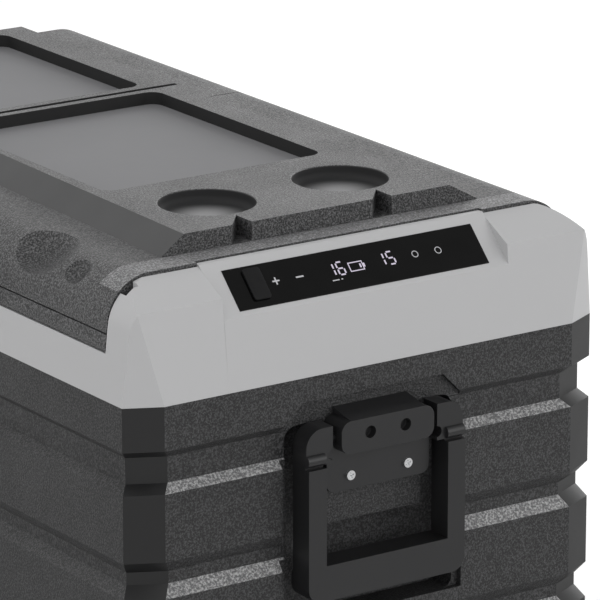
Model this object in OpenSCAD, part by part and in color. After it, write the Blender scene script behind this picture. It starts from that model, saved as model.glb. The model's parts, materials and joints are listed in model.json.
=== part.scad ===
// Compressor cooler fridge: a ribbed insulated box with two lids side by side along its
// length, a light collar with a control console at one end and a folding handle at each end.
// Axes: +X across, +Y along the length away from the console, +Z up. The origin is on the
// ground under the middle of the box.

/* [Box] */
// Length of the box between its two flat ends
box_l = 716; // [640:1:860]
// Width of the box
box_w = 400; // [350:1:480]
// Height of the dark body's top edge above the ground
body_h = 352; // [330:1:430]
// Height of the collar and the lids' shoulder above the body
collar_h = 84; // [80:1:100]
// Height of the lids' raised middle above their shoulder
plateau_h = 14; // [12:1:18]
// Width of the corner chamfers, measured across the box
corner_x = 26; // [14:1:36]
// Width of the corner chamfers, measured along the box
corner_y = 13; // [8:1:22]
// Wall thickness of the body shell
wall = 3; // [2.5:0.1:3.6]

/* [Body ribs] */
// Depth of the grooves between the bands
groove_depth = 6; // [3:0.5:6]
// Height of the flat floor of the top groove
top_groove_flat = 19; // [14:1:22]
// Height of each slope of the top groove
top_groove_slope = 6; // [4:0.5:8]
// Height of the band above the top groove
top_band_h = 32; // [26:1:36]
// Height of the flat floor of the lower grooves
low_groove_flat = 9; // [7:1:12]
// Height of each slope of the lower grooves
low_groove_slope = 9; // [6:0.5:10]
// Spacing of the grooves, one below the other
groove_pitch = 78; // [72:1:80]
// Height of the stepped-in skirt round the foot of the body
skirt_h = 26; // [20:1:32]

/* [Feet] */
// Diameter of a rubber foot
foot_d = 38; // [30:1:46]
// Height of a rubber foot
foot_h = 12; // [10:1:16]
// Distance of the feet from the sides
foot_in_x = 50; // [45:1:60]
// Distance of the feet from the ends
foot_in_y = 60; // [50:1:75]

/* [Insulation and tubs] */
// Foam thickness at the sides
foam_side = 36; // [30:1:40]
// Foam thickness under the tubs and over the machine room
foam_floor = 32; // [26:1:38]
// Foam thickness between the two tubs
tub_divide = 48; // [44:1:60]
// Wall of the moulded tubs
liner_t = 2; // [1.5:0.1:2.5]
// Distance from a lid's end edge to the tub below it
lid_margin = 24; // [22:1:32]
// Corner radius of the tubs
tub_r = 18; // [14:1:24]
// Thickness of the evaporator plates
evap_t = 1.5; // [1:0.1:2]
// Length of the machine room along the box
room_l = 150; // [140:1:170]
// Height of the machine room
room_h = 175; // [165:1:182]

/* [Baskets] */
// Wall of the lift-out baskets
basket_t = 2.4; // [2:0.1:3]
// Gap between a basket and its tub
basket_gap = 3; // [2:0.5:5]
// Distance of the baskets' rims below the tubs' rims
basket_drop = 26; // [20:1:36]
// Width of a basket's slots
basket_slot = 14; // [10:1:16]
// Spacing of a basket's slots
basket_pitch = 22; // [20:1:26]

/* [Collar] */
// Draft angle of the collar's and lids' long sides, in degrees
side_draft = 6; // [4:0.5:8]
// Radius of the long rounded shoulder
shoulder_r = 34; // [28:1:38]
// Depth of the collar's ends, from the flat end to the lid
end_depth = 39.4; // [38:0.2:44]
// Set-back of the collar's end crease outside the console
crease_y = 8; // [6:0.5:10]
// Height of that crease above the body
crease_z = 65.5; // [60:0.5:70]
// Set-back of the console's lower crease
console_y = 6; // [4:0.5:7]
// Height of the console's lower crease above the body
console_z = 51; // [48:0.5:55]
// Half the width of the console between its side steps
console_half = 121; // [114:1:130]
// Extra set-back of the lid's edge behind the console
console_step = 4; // [3:0.5:6]
// Height of the console's rear edge above the shoulder
console_lift = 0.8; // [0.6:0.2:1.8]
// Height of the lids' edges above the collar
lid_proud = 2; // [1.2:0.2:2.4]
// Wall of the collar
collar_t = 3.2; // [2.8:0.1:4]

/* [Control panel] */
// Width of the black panel
panel_w = 212; // [180:1:216]
// Height of the black panel along the slope
panel_h = 33; // [31:1:34]
// Thickness of the black panel
panel_t = 2.4; // [2:0.1:3]
// Height of the panel's face above the slope
panel_proud = 0.4; // [0.2:0.1:0.8]
// Width of the rubber cover over the charging sockets
flap_w = 14; // [13:0.5:16]
// Height of the rubber cover along the slope
flap_h = 25; // [22:0.5:26]
// Distance of the rubber cover from the panel's left edge
flap_in = 14.5; // [4:0.5:20]

/* [Lids] */
// Length of the lid next to the console
lid_len = 381; // [360:1:420]
// Height of the lids' lower edge above the body
lid_rise = 33.5; // [32:0.5:36]
// Height of the split line between a lid's shell and its inner moulding, above the body
split_rise = 46; // [44.5:0.5:48]
// Gap between neighbouring closed pieces, as at the seams
seam = 1; // [0.8:0.1:1.4]
// Wall of the lid shell's top
lid_t = 3; // [2.6:0.1:3.6]
// Width of the raised middle's flat top at the console end
plateau_w = 222; // [190:1:226]
// Run of the slope beside the raised middle
plateau_slope = 19; // [14:1:22]
// Distance of the raised middle's front from the lid's front edge
plateau_in = 24.6; // [20:0.2:30]
// Diameter of the cup recesses
cup_d = 70; // [60:1:76]
// Distance between the cup recesses' centres
cup_gap = 114.4; // [100:0.2:124]
// Distance of the cups' centres from the lid's front edge
cup_in = 84.6; // [78:0.2:92]
// Depth of the cup and tray recesses
recess_d = 9.6; // [8:0.1:10.4]
// Length of the front tray recess
tray_len = 226; // [190:1:230]
// Width of the tray recesses
tray_w = 188; // [150:1:194]
// Radius of the finger scoops
scoop_r = 45; // [40:1:50]
// Depth of the finger scoops
scoop_depth = 12; // [9:0.5:12]
// Distance of the finger scoops from the middle of the lid
scoop_off = 84.6; // [80:0.2:90]

/* [Hinges and latches] */
// Diameter of the hinge barrels
barrel_d = 8.8; // [8:0.1:9]
// Diameter of the hinge and latch pins
pin_d = 3; // [2.6:0.1:3.2]
// Length of a lid's barrel in one hinge
barrel_l = 24; // [18:1:30]
// Distance of the hinges from the ends of a lid
hinge_in = 58; // [50:1:70]
// Radial clearance of a pin in the piece that turns on it
pin_play = 0.05; // [0.03:0.01:0.08]
// Width of a latch lever
latch_w = 72; // [60:1:80]

/* [Handles] */
// Overall width of a folding handle
bail_w = 134; // [128:1:144]
// Width of a handle's arms
arm_w = 15; // [13:1:18]
// Width of the arms' upper ends
hub_w = 22.4; // [20:0.1:23]
// Length from the pivot to the outside of the grip
bail_drop = 116; // [105:1:122]
// Height of the grip
grip_h = 26; // [22:1:30]
// Thickness of the grip
grip_t = 22; // [18:1:24]
// Diameter of the handle's pivot pin
pivot_d = 6; // [5:0.5:7]
// Depth of the pivot below the body's top edge
pivot_down = 44; // [42:0.5:46]
// Distance of the pivot outside the flat end
pivot_out = 8; // [7:0.5:9]
// Distance that the bracket's block stands out from the flat end
block_out = 18; // [16:0.5:20]
// Half the spacing of the two bracket screws
screw_half = 24.5; // [20:0.5:28]
// Diameter of the bracket screws
screw_d = 3.5; // [3:0.1:4]
// Depth of the shallow recess round the bracket
recess_y = 5; // [4:0.5:7]
// Depth of the channel behind the handle
channel_y = 24; // [21:1:27]

/* [Machine room] */
// Diameter of the compressor's shell
comp_d = 112; // [96:1:118]
// Height of the compressor's shell
comp_h = 118; // [96:1:124]
// Thickness of the steel plate under the compressor
comp_plate_t = 2; // [1.5:0.1:3]
// Size of the fan's square frame
fan_size = 120; // [110:1:124]
// Thickness of the fan
fan_t = 25; // [22:1:28]
// Thickness of the condenser
cond_t = 28; // [22:1:32]
// Outer diameter of the refrigerant pipes
pipe_d = 6; // [5:0.5:8]
// Width of a vent grille along the box
vent_w = 120; // [100:1:124]
// Height of a vent grille
vent_h = 72; // [60:1:74]

/* [Hidden] */
$fn = 64;
eps = 0.01;   // overlap that joins two shapes of one piece
cut = 1;      // how far a cut runs past the face it opens

dark = "#3b3b3c";
pale = "#b4b4b4";
black = "#141414";
metal = "#c6c6c8";
inner_grey = "#8d9093";
copper = "#b5683c";

hw = box_w / 2;
hl = box_l / 2;

// Heights
floor_z = foot_h + wall;
ledge_z = body_h + lid_rise - 1.5;
lid_z0 = body_h + lid_rise;
split_z = body_h + split_rise;
land_z = ledge_z + 28;
shoulder_z = body_h + collar_h;
edge_h = collar_h - lid_proud;
top_z = shoulder_z + plateau_h;
gasket_gap = 0.3;
gasket_t = 2.2;
panel_z = land_z + gasket_gap + gasket_t;   // underside of a lid's inner moulding
moulding_t = 3;

// Lids along the length
lid_y0 = -hl + end_depth;
lid_seam = lid_y0 + lid_len;
lid_y1 = hl - end_depth;
skirt_in = 13;                 // thickness of a lid's long side at its foot
skirt_x = hw - skirt_in;       // inner face of a lid's long side
land_x = skirt_x - 4;
end_wall = 4;

// Tubs
tub_x = hw - groove_depth - wall - foam_side;
tub_front = [lid_y0 + lid_margin, lid_seam - tub_divide / 2];
tub_rear = [lid_seam + tub_divide / 2, lid_y1 - lid_margin];
room_y0 = -hl + groove_depth + wall;
room_y1 = room_y0 + room_l;
room_z1 = floor_z + room_h;
tub_floor = floor_z + foam_floor;
step_floor = room_z1 + foam_floor;
step_y = room_y1 + foam_floor;

// Shoulder arc: its centre and where it meets the drafted side
arc_x = hw - (collar_h - shoulder_r) * tan(side_draft) - shoulder_r / cos(side_draft);
arc_z = collar_h - shoulder_r;
touch_x = arc_x + shoulder_r * cos(side_draft);
touch_z = arc_z + shoulder_r * sin(side_draft);

// Console slope
slope_a = 45;
panel_up = 20.7;               // up the slope from the lower crease to the panel's centre
panel_y = -hl + console_y + panel_up * cos(slope_a);
panel_cz = body_h + console_z + panel_up * sin(slope_a);

// Plateau
tooth_w = 17.5;
tooth_l = 19.5;

// Grooves from low to high: centre height, flat, slope
top_groove_z = body_h - top_band_h - top_groove_slope - top_groove_flat / 2;
grooves = [[top_groove_z - 2 * groove_pitch, low_groove_flat, low_groove_slope],
           [top_groove_z - groove_pitch, low_groove_flat, low_groove_slope],
           [top_groove_z, top_groove_flat, top_groove_slope]];

// Hinges
hinge_x = hw - barrel_d / 2 - 0.2;
hinge_z = lid_z0 + 1;
barrel_gap = 0.6;
front_hinges = [lid_y0 + hinge_in, lid_seam - hinge_in];
rear_hinges = [lid_seam + hinge_in, lid_y1 - hinge_in];
fixed_barrel_l = 12;

// Latches
latch_x = -(hw - 6.4);
latch_z = body_h + 62;
latch_wall = skirt_x + 3.5;
latch_gap = 1.2;
latch_foot = lid_z0 - 7.5;
front_mid = (lid_y0 + lid_seam) / 2;
rear_mid = (lid_seam + lid_y1) / 2;

// Handle pocket
pocket_half = bail_w / 2 + 10;
pocket_top = body_h - 18;
channel_out = bail_w / 2 + 5;
hub_gap = 0.6;                 // between a hub and the bracket's plate
block_gap = 5.1;               // between a hub and the bracket's block
plate_w = bail_w - 2 * (hub_w + hub_gap);
block_w = bail_w - 2 * (hub_w + block_gap);
channel_in = plate_w / 2 + 0.5;
channel_r = 10;                // the channel's outer top corners
channel_up = 9;                // the channel's top above the pivot
pivot_z = body_h - pivot_down;
grip_low = pivot_z - bail_drop;
channel_low = grip_low - 20;
channel_grip_top = grip_low + grip_h + 22;
arm_back = 2;                  // arms' rear faces inside the flat end
block_h = 24;
block_r = 8;
block_rise = 5;                // how far the block's top rises towards the wall
block_z = pivot_z + 0.4;       // middle of the block's face
hole_half = 15;                // half the spacing of the block's blind holes
hole_d = 9;
hole_depth = block_out - pivot_out - pivot_d / 2 - 1;    // ends 1 mm short of the pivot pin
hole_up = 1.4;                 // their height above the middle of the face
screw_z = body_h - 75;
hub_up = 10.5;                 // a hub's top above the pivot
hub_down = 7.5;                // a hub's face ends this far below the pivot
hub_r = 14;                    // a hub's outer top corner
hub_back = 3.5;                // how far a hub's face lies behind the arm's
knuckle_d = 9;                 // rounded knuckle between a hub and its arm
ledge_gap = 1.5;               // groove between the knuckle and the arm's ledge
notch_r = 4;                   // round notch in a hub's inner edge
plate_out = 6;
plate_down = 11;               // the plate's lower edge below its screws

// Machine room layout
cond_x = -(hw - groove_depth - wall - 12);
fan_x = cond_x + cond_t + 3;
fan_z = floor_z + fan_size / 2 + 16;
room_mid = (room_y0 + room_y1) / 2;
comp_x = 30;
foot_pad = 12;                 // height of the compressor's rubber mounts
comp_z = floor_z + comp_plate_t + foot_pad;
vent_z = foot_h + skirt_h + 20 + vent_h / 2;
vent_flange = 1.5;
inlet_x = 118;
inlet_z = vent_z;
inlet_w = 44;
inlet_h = 30;
loom_x = 150;
loom_d = 7;
bulkhead_t = 2;
power_y = room_y1 - bulkhead_t - 44;
power_z = floor_z + 40;
power_h = 96;
port_h = 4;                    // height of the compressor's pipe ports above its top
pin_press = 0.02;              // radial clearance of a pin in the piece that holds it
play = 0.3;                    // clearance round a piece set into a hole
bend_bulge = 0.2;              // a bent rod is slightly thicker at its bends

// ---------------------------------------------------------------- shared shapes

// Outline of the box seen from above, set in by d, counter-clockwise.
function plan(d) = let(a = hw - d, b = hl - d)
    [[a, b - corner_y], [a - corner_x, b], [-a + corner_x, b], [-a, b - corner_y],
     [-a, -b + corner_y], [-a + corner_x, -b], [a - corner_x, -b], [a, -b + corner_y]];

// Solid through a stack of plan outlines; each ring is [height, inset].
module loft(rings) {
    n = 8;
    last = (len(rings) - 1) * n;
    polyhedron(
        points = [for (r = rings) for (p = plan(r[1])) [p[0], p[1], r[0]]],
        faces = concat(
            [[for (i = [0 : n - 1]) i]],
            [[for (i = [n - 1 : -1 : 0]) last + i]],
            [for (k = [0 : len(rings) - 2]) for (i = [0 : n - 1])
                [(k + 1) * n + i, (k + 1) * n + (i + 1) % n, k * n + (i + 1) % n, k * n + i]]));
}

// Block between two corners.
module span(a, b) {
    translate(a) cube(b - a);
}

// Rectangle with round corners, centred.
module round_rect(w, h, r) {
    square([w - 2 * r, h], center = true);
    square([w, h - 2 * r], center = true);
    for (x = [-1, 1]) for (y = [-1, 1])
        translate([x * (w / 2 - r), y * (h / 2 - r)]) circle(r);
}

// What is cut off to round a corner at x, y that points right and up.
module round_off(x, y, r) {
    translate([x - r, y - r]) difference() {
        square(r + eps);
        circle(r);
    }
}

// Outline in X and Z pushed along Y, from y0 to y1.
module along_y(y0, y1) {
    translate([0, y1, 0]) rotate([90, 0, 0]) linear_extrude(y1 - y0) children();
}

// Outline in Y and Z pushed along X, from x0 to x1.
module along_x(x0, x1) {
    translate([x0, 0, 0]) rotate([90, 0, 90]) linear_extrude(x1 - x0) children();
}

// Round tube or rod through a list of points, with ball corners.
module rod(points, d) {
    for (i = [0 : len(points) - 2]) {
        v = points[i + 1] - points[i];
        translate(points[i])
            rotate([0, acos(v[2] / norm(v)), atan2(v[1], v[0])])
                cylinder(h = norm(v), d = d, $fn = 24);
    }
    for (i = [1 : len(points) - 2]) translate(points[i]) sphere(d = d + bend_bulge, $fn = 24);
}

// The same piece at the other end of the box, turned half round.
module at_rear() {
    rotate([0, 0, 180]) children();
}

// ---------------------------------------------------------------- body

function body_rings(d) = concat(
    [[foot_h + (d > 0 ? wall : 0), groove_depth + d], [foot_h + skirt_h, groove_depth + d],
     [foot_h + skirt_h + groove_depth, d]],
    [for (g = grooves) for (k = [[-g[1] / 2 - g[2], 0], [-g[1] / 2, groove_depth],
                                 [g[1] / 2, groove_depth], [g[1] / 2 + g[2], 0]])
        [g[0] + k[0], k[1] + d]],
    [[body_h + (d > 0 ? cut : 0), d]]);

module pocket_block(grow) {
    span([-pocket_half - wall - grow, -hl - cut, channel_low - wall - grow],
         [pocket_half + wall + grow, -hl + channel_y + wall + grow, pocket_top + wall + grow]);
}

// Shallow chamfered recess, the deeper channel round the handle and the screw holes.
module pocket_cut() {
    chamfer = 17;
    along_y(-hl - cut, -hl + recess_y)
        polygon([[-pocket_half, channel_low], [pocket_half, channel_low],
                 [pocket_half, pocket_top - chamfer], [pocket_half - chamfer, pocket_top],
                 [-pocket_half + chamfer, pocket_top], [-pocket_half, pocket_top - chamfer]]);
    along_y(-hl - cut, -hl + channel_y) {
        for (s = [-1, 1]) mirror([s < 0 ? 1 : 0, 0, 0]) difference() {
            top = pivot_z + channel_up;
            translate([channel_in, channel_low + channel_r])
                square([channel_out - channel_in, top - channel_low - channel_r]);
            round_off(channel_out, top, channel_r);
        }
        translate([0, (channel_low + channel_grip_top) / 2])
            round_rect(2 * channel_out, channel_grip_top - channel_low, 6);
    }
    for (s = [-1, 1])
        translate([s * screw_half, -hl - cut, screw_z]) rotate([-90, 0, 0])
            cylinder(h = channel_y + wall, d = screw_d);
}

module vent_hole(side) {
    translate([side * hw, room_mid, vent_z]) {
        cube([2 * (groove_depth + wall), vent_w - 8, vent_h - 8], center = true);
        cube([2 * vent_flange, vent_w + 2 * play, vent_h + 2 * play], center = true);
    }
}

module body_shell() color(dark) difference() {
    loft(body_rings(0));
    difference() {
        loft(body_rings(wall));
        pocket_block(0);
        at_rear() pocket_block(0);
    }
    pocket_cut();
    at_rear() pocket_cut();
    for (s = [-1, 1]) vent_hole(s);
    translate([inlet_x, -hl, inlet_z])
        cube([inlet_w - 8, 3 * (groove_depth + wall), inlet_h - 8], center = true);
    for (x = [-1, 1]) for (y = [-1, 1])
        translate([x * (hw - foot_in_x), y * (hl - foot_in_y), foot_h - cut])
            cylinder(h = wall + 2 * cut, d = screw_d);
}

module rubber_feet() color(black)
    for (x = [-1, 1]) for (y = [-1, 1])
        translate([x * (hw - foot_in_x), y * (hl - foot_in_y), 0]) rotate_extrude()
            polygon([[screw_d / 2 + 0.2, foot_h / 2], [screw_d / 2 + 0.2, foot_h],
                     [foot_d / 2, foot_h], [foot_d / 2 - 1, 2], [foot_d / 2 - 3, 0],
                     [screw_d + 1, 0], [screw_d + 1, foot_h / 2]]);

module foot_screws() color(metal)
    for (x = [-1, 1]) for (y = [-1, 1])
        translate([x * (hw - foot_in_x), y * (hl - foot_in_y), foot_h / 2 - 2.6]) {
            cylinder(h = 2.6, d = 2 * screw_d);
            cylinder(h = 2.6 + foot_h / 2 + wall, d = screw_d);
        }

// Louvred grille in the side wall: a flange with slanted slots and a snap-in rim.
module vent_grille(side) color(black)
    mirror([side < 0 ? 1 : 0, 0, 0]) translate([hw, room_mid, vent_z]) difference() {
        union() {
            translate([-vent_flange, -vent_w / 2, -vent_h / 2]) cube([vent_flange, vent_w, vent_h]);
            translate([-8, -vent_w / 2 + 4 + play, -vent_h / 2 + 4 + play])
                cube([8, vent_w - 8 - 2 * play, vent_h - 8 - 2 * play]);
        }
        louvres = floor((vent_h - 16) / 8);
        for (i = [0 : louvres - 1])
            translate([-4, 0, (i - (louvres - 1) / 2) * 8]) rotate([0, 30, 0])
                cube([30, vent_w - 20, 4], center = true);
    }

module vent_grille_left() vent_grille(-1);
module vent_grille_right() vent_grille(1);

// ---------------------------------------------------------------- machine room

// Outline of the machine room with a gap d to the body shell, as thick as h.
module room_sheet(d, h) {
    linear_extrude(h) intersection() {
        polygon(plan(groove_depth + wall + d));
        translate([-hw, -hl]) square([box_w, room_y1 + hl]);
    }
}

module compressor_plate() color(metal) difference() {
    translate([0, 0, floor_z]) room_sheet(play, comp_plate_t);
    at_compressor_feet() translate([0, 0, floor_z - cut]) cylinder(h = comp_plate_t + 2 * cut, d = 5);
}

comp_feet_x = 100;
comp_feet_y = 86;
comp_ports = [[-20, 30], [20, 32]];

module at_compressor_feet() {
    for (x = [-1, 1]) for (y = [-1, 1])
        translate([comp_x + x * comp_feet_x / 2, room_mid + y * comp_feet_y / 2, 0]) children();
}

// Welded steel can with a foot plate, a terminal box and three pipe stubs.
module compressor() color("#1d1e20") {
    translate([comp_x, room_mid, comp_z]) {
        rotate_extrude() polygon(concat([[0, 3], [comp_d / 2 - 12, 3]],
            [for (a = [-90 : 15 : 0]) [comp_d / 2 - 12 + 12 * cos(a), 15 + 12 * sin(a)]],
            [[comp_d / 2, comp_h * 0.52], [comp_d / 2 + 3, comp_h * 0.52],
             [comp_d / 2 + 3, comp_h * 0.56], [comp_d / 2, comp_h * 0.56]],
            [for (a = [0 : 10 : 90]) [comp_d / 2 - 34 + 34 * cos(a), comp_h - 34 + 34 * sin(a)]],
            [[0, comp_h]]));
        difference() {
            translate([-comp_feet_x / 2 - 10, -comp_feet_y / 2 - 10, 0])
                cube([comp_feet_x + 20, comp_feet_y + 20, 3 + eps]);
            for (x = [-1, 1]) for (y = [-1, 1])
                translate([x * comp_feet_x / 2, y * comp_feet_y / 2, -cut]) cylinder(h = 6, d = 9);
        }
        translate([comp_d / 2 - 6, -20, 34]) cube([20, 40, 36]);
        for (p = comp_ports) translate([p[0], p[1], comp_h - 24]) cylinder(h = 24 + port_h, d = pipe_d + 4);
    }
}

module compressor_grommets() color(black) at_compressor_feet() rotate_extrude()
    polygon([[2.6, floor_z + comp_plate_t], [9, floor_z + comp_plate_t], [9, comp_z - 0.1],
             [4.2, comp_z - 0.1], [4.2, comp_z + 3.2], [8, comp_z + 3.2], [8, comp_z + 6],
             [2.6, comp_z + 6]]);

module compressor_bolts() color(metal) at_compressor_feet() {
    translate([0, 0, floor_z]) cylinder(h = comp_z + 6 - floor_z, d = 5);
    translate([0, 0, comp_z + 6]) cylinder(h = 3, d = 9, $fn = 6);
}

// Finned coil behind the left grille.
module condenser() color(metal) {
    w = room_l - 20;
    h = fan_size + 10;
    translate([cond_x, room_mid - w / 2, floor_z + comp_plate_t]) {
        difference() {
            cube([cond_t, w, h]);
            for (i = [0 : floor((w - 16) / 8) - 1])
                translate([-cut, 6 + i * 8, 5]) cube([cond_t + 2 * cut, 6, h - 10]);
        }
        for (k = [1 : 5]) translate([cond_t / 2, 2, k * h / 6]) rotate([-90, 0, 0])
            cylinder(h = w - 4, d = pipe_d);
    }
}

module at_fan() {
    translate([fan_x, room_mid, fan_z]) rotate([0, 90, 0]) children();
}

fan_hole = fan_size - 8;
fan_pin_d = 4;

// Square frame with a round duct, a motor seat on four arms and four feet on the plate.
module fan_frame() color(black) {
    at_fan() {
        difference() {
            translate([-fan_size / 2, -fan_size / 2, 0]) cube([fan_size, fan_size, fan_t]);
            translate([0, 0, -cut]) cylinder(h = fan_t + 2 * cut, d = fan_hole);
        }
        cylinder(h = 4, d = 40);
        cylinder(h = fan_t - 3, d = fan_pin_d);
        for (a = [45 : 90 : 315]) rotate([0, 0, a]) translate([15, -3, 0])
            cube([fan_hole / 2 - 13, 6, 4]);
    }
    for (y = [-1, 1])
        span([fan_x, room_mid + y * fan_size / 3 - 8, floor_z + comp_plate_t],
             [fan_x + fan_t, room_mid + y * fan_size / 3 + 8, fan_z - fan_size / 2 + eps]);
}

module fan_rotor() color("#2a2b2d") at_fan() difference() {
    union() {
        translate([0, 0, 5]) cylinder(h = fan_t - 6, d = 42);
        for (i = [0 : 6]) rotate([0, 0, i * 360 / 7]) translate([18, 0, fan_t / 2 + 2])
            rotate([35, 0, 0]) translate([0, -10, -1]) cube([fan_hole / 2 - 21, 20, 2]);
    }
    translate([0, 0, 5 - cut]) cylinder(h = fan_t - 8 + cut, d = fan_pin_d + 2 * pin_play);
}

drier_x = comp_x - 78;
drier_y = room_y1 - 18;

module filter_drier() color(copper) translate([drier_x, drier_y, comp_z + 20]) rotate_extrude()
    polygon([[0, 0], [pipe_d / 2, 0], [pipe_d / 2, 8], [9, 16], [9, 72], [pipe_d / 2, 80],
             [pipe_d / 2, 88], [0, 88]]);

// Discharge to the condenser, liquid line through the drier, and the suction line.
module refrigerant_pipes() color(copper) {
    cond_out = floor_z + comp_plate_t + 5 * (fan_size + 10) / 6;
    top = comp_z + comp_h;
    pipe_x = cond_x + cond_t / 2;
    far_y = room_mid + room_l / 2 - 10;
    out = comp_ports[0] + [comp_x, room_mid];
    back = comp_ports[1] + [comp_x, room_mid];
    rod([[out[0], out[1], top + port_h], [out[0], out[1], top + 14],
         [out[0], far_y - 4, top + 14], [pipe_x, far_y - 4, top + 14],
         [pipe_x, far_y - 4, cond_out + 24]], pipe_d);
    rod([[drier_x, drier_y, comp_z + 20], [drier_x, drier_y, comp_z + 8],
         [drier_x + 26, drier_y, comp_z + 8]], pipe_d);
    rod([[drier_x, drier_y, comp_z + 108], [drier_x, drier_y, room_z1 - 4]], pipe_d);
    rod([[back[0], back[1], top + port_h], [back[0], back[1], top + 9],
         [back[0], drier_y, top + 9], [back[0], drier_y, room_z1 - 4]], pipe_d);
}

// Inverter and battery guard in a ribbed case on the bulkhead.
module power_module() color("#232426") {
    translate([loom_x - 26, power_y, power_z]) difference() {
        cube([52, 44, power_h]);
        for (i = [0 : 5]) translate([4 + i * 8, -cut, -cut]) cube([4, 12, power_h + 2 * cut]);
    }
}

// Sheet-metal wall and ceiling between the machine room and the foam.
module machine_bulkhead() color(metal) {
    x = hw - groove_depth - wall - play;
    difference() {
        union() {
            span([-x, room_y1 - bulkhead_t, floor_z + comp_plate_t], [x, room_y1, room_z1]);
            translate([0, 0, room_z1 - bulkhead_t]) room_sheet(play, bulkhead_t);
        }
        loom_duct(room_z1 - bulkhead_t - cut, bulkhead_t + 2 * cut);
        pocket_block(play);
    }
}

// Duct for the harness, through the bulkhead and the foam.
module loom_duct(z, h) {
    translate([loom_x, room_y0 + 20, z]) cylinder(h = h, d = loom_d + 3);
}

// Flanged socket body in the end wall, open outwards.
module dc_inlet() color(black) translate([inlet_x, -hl, inlet_z]) difference() {
    union() {
        translate([-inlet_w / 2, -2, -inlet_h / 2]) cube([inlet_w, 2, inlet_h]);
        translate([-inlet_w / 2 + 4 + play, -eps, -inlet_h / 2 + 4 + play])
            cube([inlet_w - 8 - 2 * play, 26, inlet_h - 8 - 2 * play]);
    }
    translate([0, 10, 0]) rotate([90, 0, 0]) linear_extrude(22, center = true)
        round_rect(inlet_w - 16, inlet_h - 14, 4);
}

module dc_inlet_pins() color(metal) for (s = [-1, 1])
    translate([inlet_x + s * 6, -hl + 3, inlet_z]) rotate([-90, 0, 0]) cylinder(h = 18, d = 3);

// Harness from the control board down a duct in the foam to the power module.
module wiring_loom() color(black)
    rod([[loom_x - 60, panel_y + 6, panel_cz - 10.7], [loom_x - 60, panel_y + 6, body_h + 12],
         [loom_x, room_y0 + 20, body_h + 12], [loom_x, room_y0 + 20, room_z1 - 20],
         [loom_x, power_y + 22, room_z1 - 20], [loom_x, power_y + 22, power_z + power_h]], loom_d);

// ---------------------------------------------------------------- tubs and foam

// Stepped block of a tub's outer surface, grown by d; the front one steps over the room.
module tub_block(front, d, top) {
    y = front ? tub_front : tub_rear;
    low = front ? step_y : y[0];
    intersection() {
        translate([0, (y[0] + y[1]) / 2, tub_floor - d]) linear_extrude(top - tub_floor + d)
            round_rect(2 * (tub_x + d), y[1] - y[0] + 2 * d, tub_r + d);
        union() {
            span([-hw, low - d, 0], [hw, y[1] + d + cut, top]);
            if (front) span([-hw, y[0] - d - cut, step_floor - d], [hw, low - d + eps, top]);
        }
    }
}

module liner(front) color(inner_grey) difference() {
    union() {
        tub_block(front, 0, land_z - 2);
        y = front ? tub_front : tub_rear;
        translate([0, (y[0] + y[1]) / 2, land_z - 2]) linear_extrude(2)
            round_rect(2 * tub_x + 16, y[1] - y[0] + 16, tub_r + 8);
    }
    tub_block(front, -liner_t, land_z + cut);
    if (front) lamp_hole();
}

lamp_l = 46;
lamp_h = 12;
lamp_z = land_z - 30;

// Seat of the lamp in the end wall of the front tub.
module lamp_hole() {
    span([-lamp_l / 2, tub_front[0] - cut, lamp_z],
         [lamp_l / 2, tub_front[0] + liner_t + cut, lamp_z + lamp_h]);
}

module lamp_lens() color("white") {
    span([-lamp_l / 2 + play, tub_front[0], lamp_z + play],
         [lamp_l / 2 - play, tub_front[0] + liner_t + 1, lamp_z + lamp_h - play]);
}

module liner_front() liner(true);
module liner_rear() liner(false);

// Aluminium plate wrapped round the sides and the divider end of a tub, inside the foam.
module evaporator(front) color(metal) {
    y = front ? tub_front : tub_rear;
    low = front ? step_y : y[0];
    z0 = tub_floor + 20;
    z1 = body_h - 40;
    difference() {
        intersection() {
            tub_block(front, play + evap_t, z1);
            span([-hw, low + tub_r + 12, z0], [hw, y[1] - tub_r - 12, z1]);
        }
        tub_block(front, play, z1 + cut);
    }
}

module evaporator_front() evaporator(true);
module evaporator_rear() evaporator(false);

module insulation_foam() color("#e8dcae") difference() {
    loft([[floor_z, groove_depth + wall], [body_h, groove_depth + wall]]);
    for (f = [true, false]) {
        tub_block(f, 0, body_h + cut);
        intersection() {
            tub_block(f, 2 * play + evap_t, body_h - 38);
            span([-hw, (f ? step_y : tub_rear[0]) + tub_r + 10, tub_floor + 18],
                 [hw, (f ? tub_front[1] : tub_rear[1]) - tub_r - 10, body_h - 38]);
        }
    }
    span([-hw, -hl, 0], [hw, room_y1, room_z1]);
    pocket_block(play);
    at_rear() pocket_block(play);
    loom_duct(room_z1 - cut, body_h);
}

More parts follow.
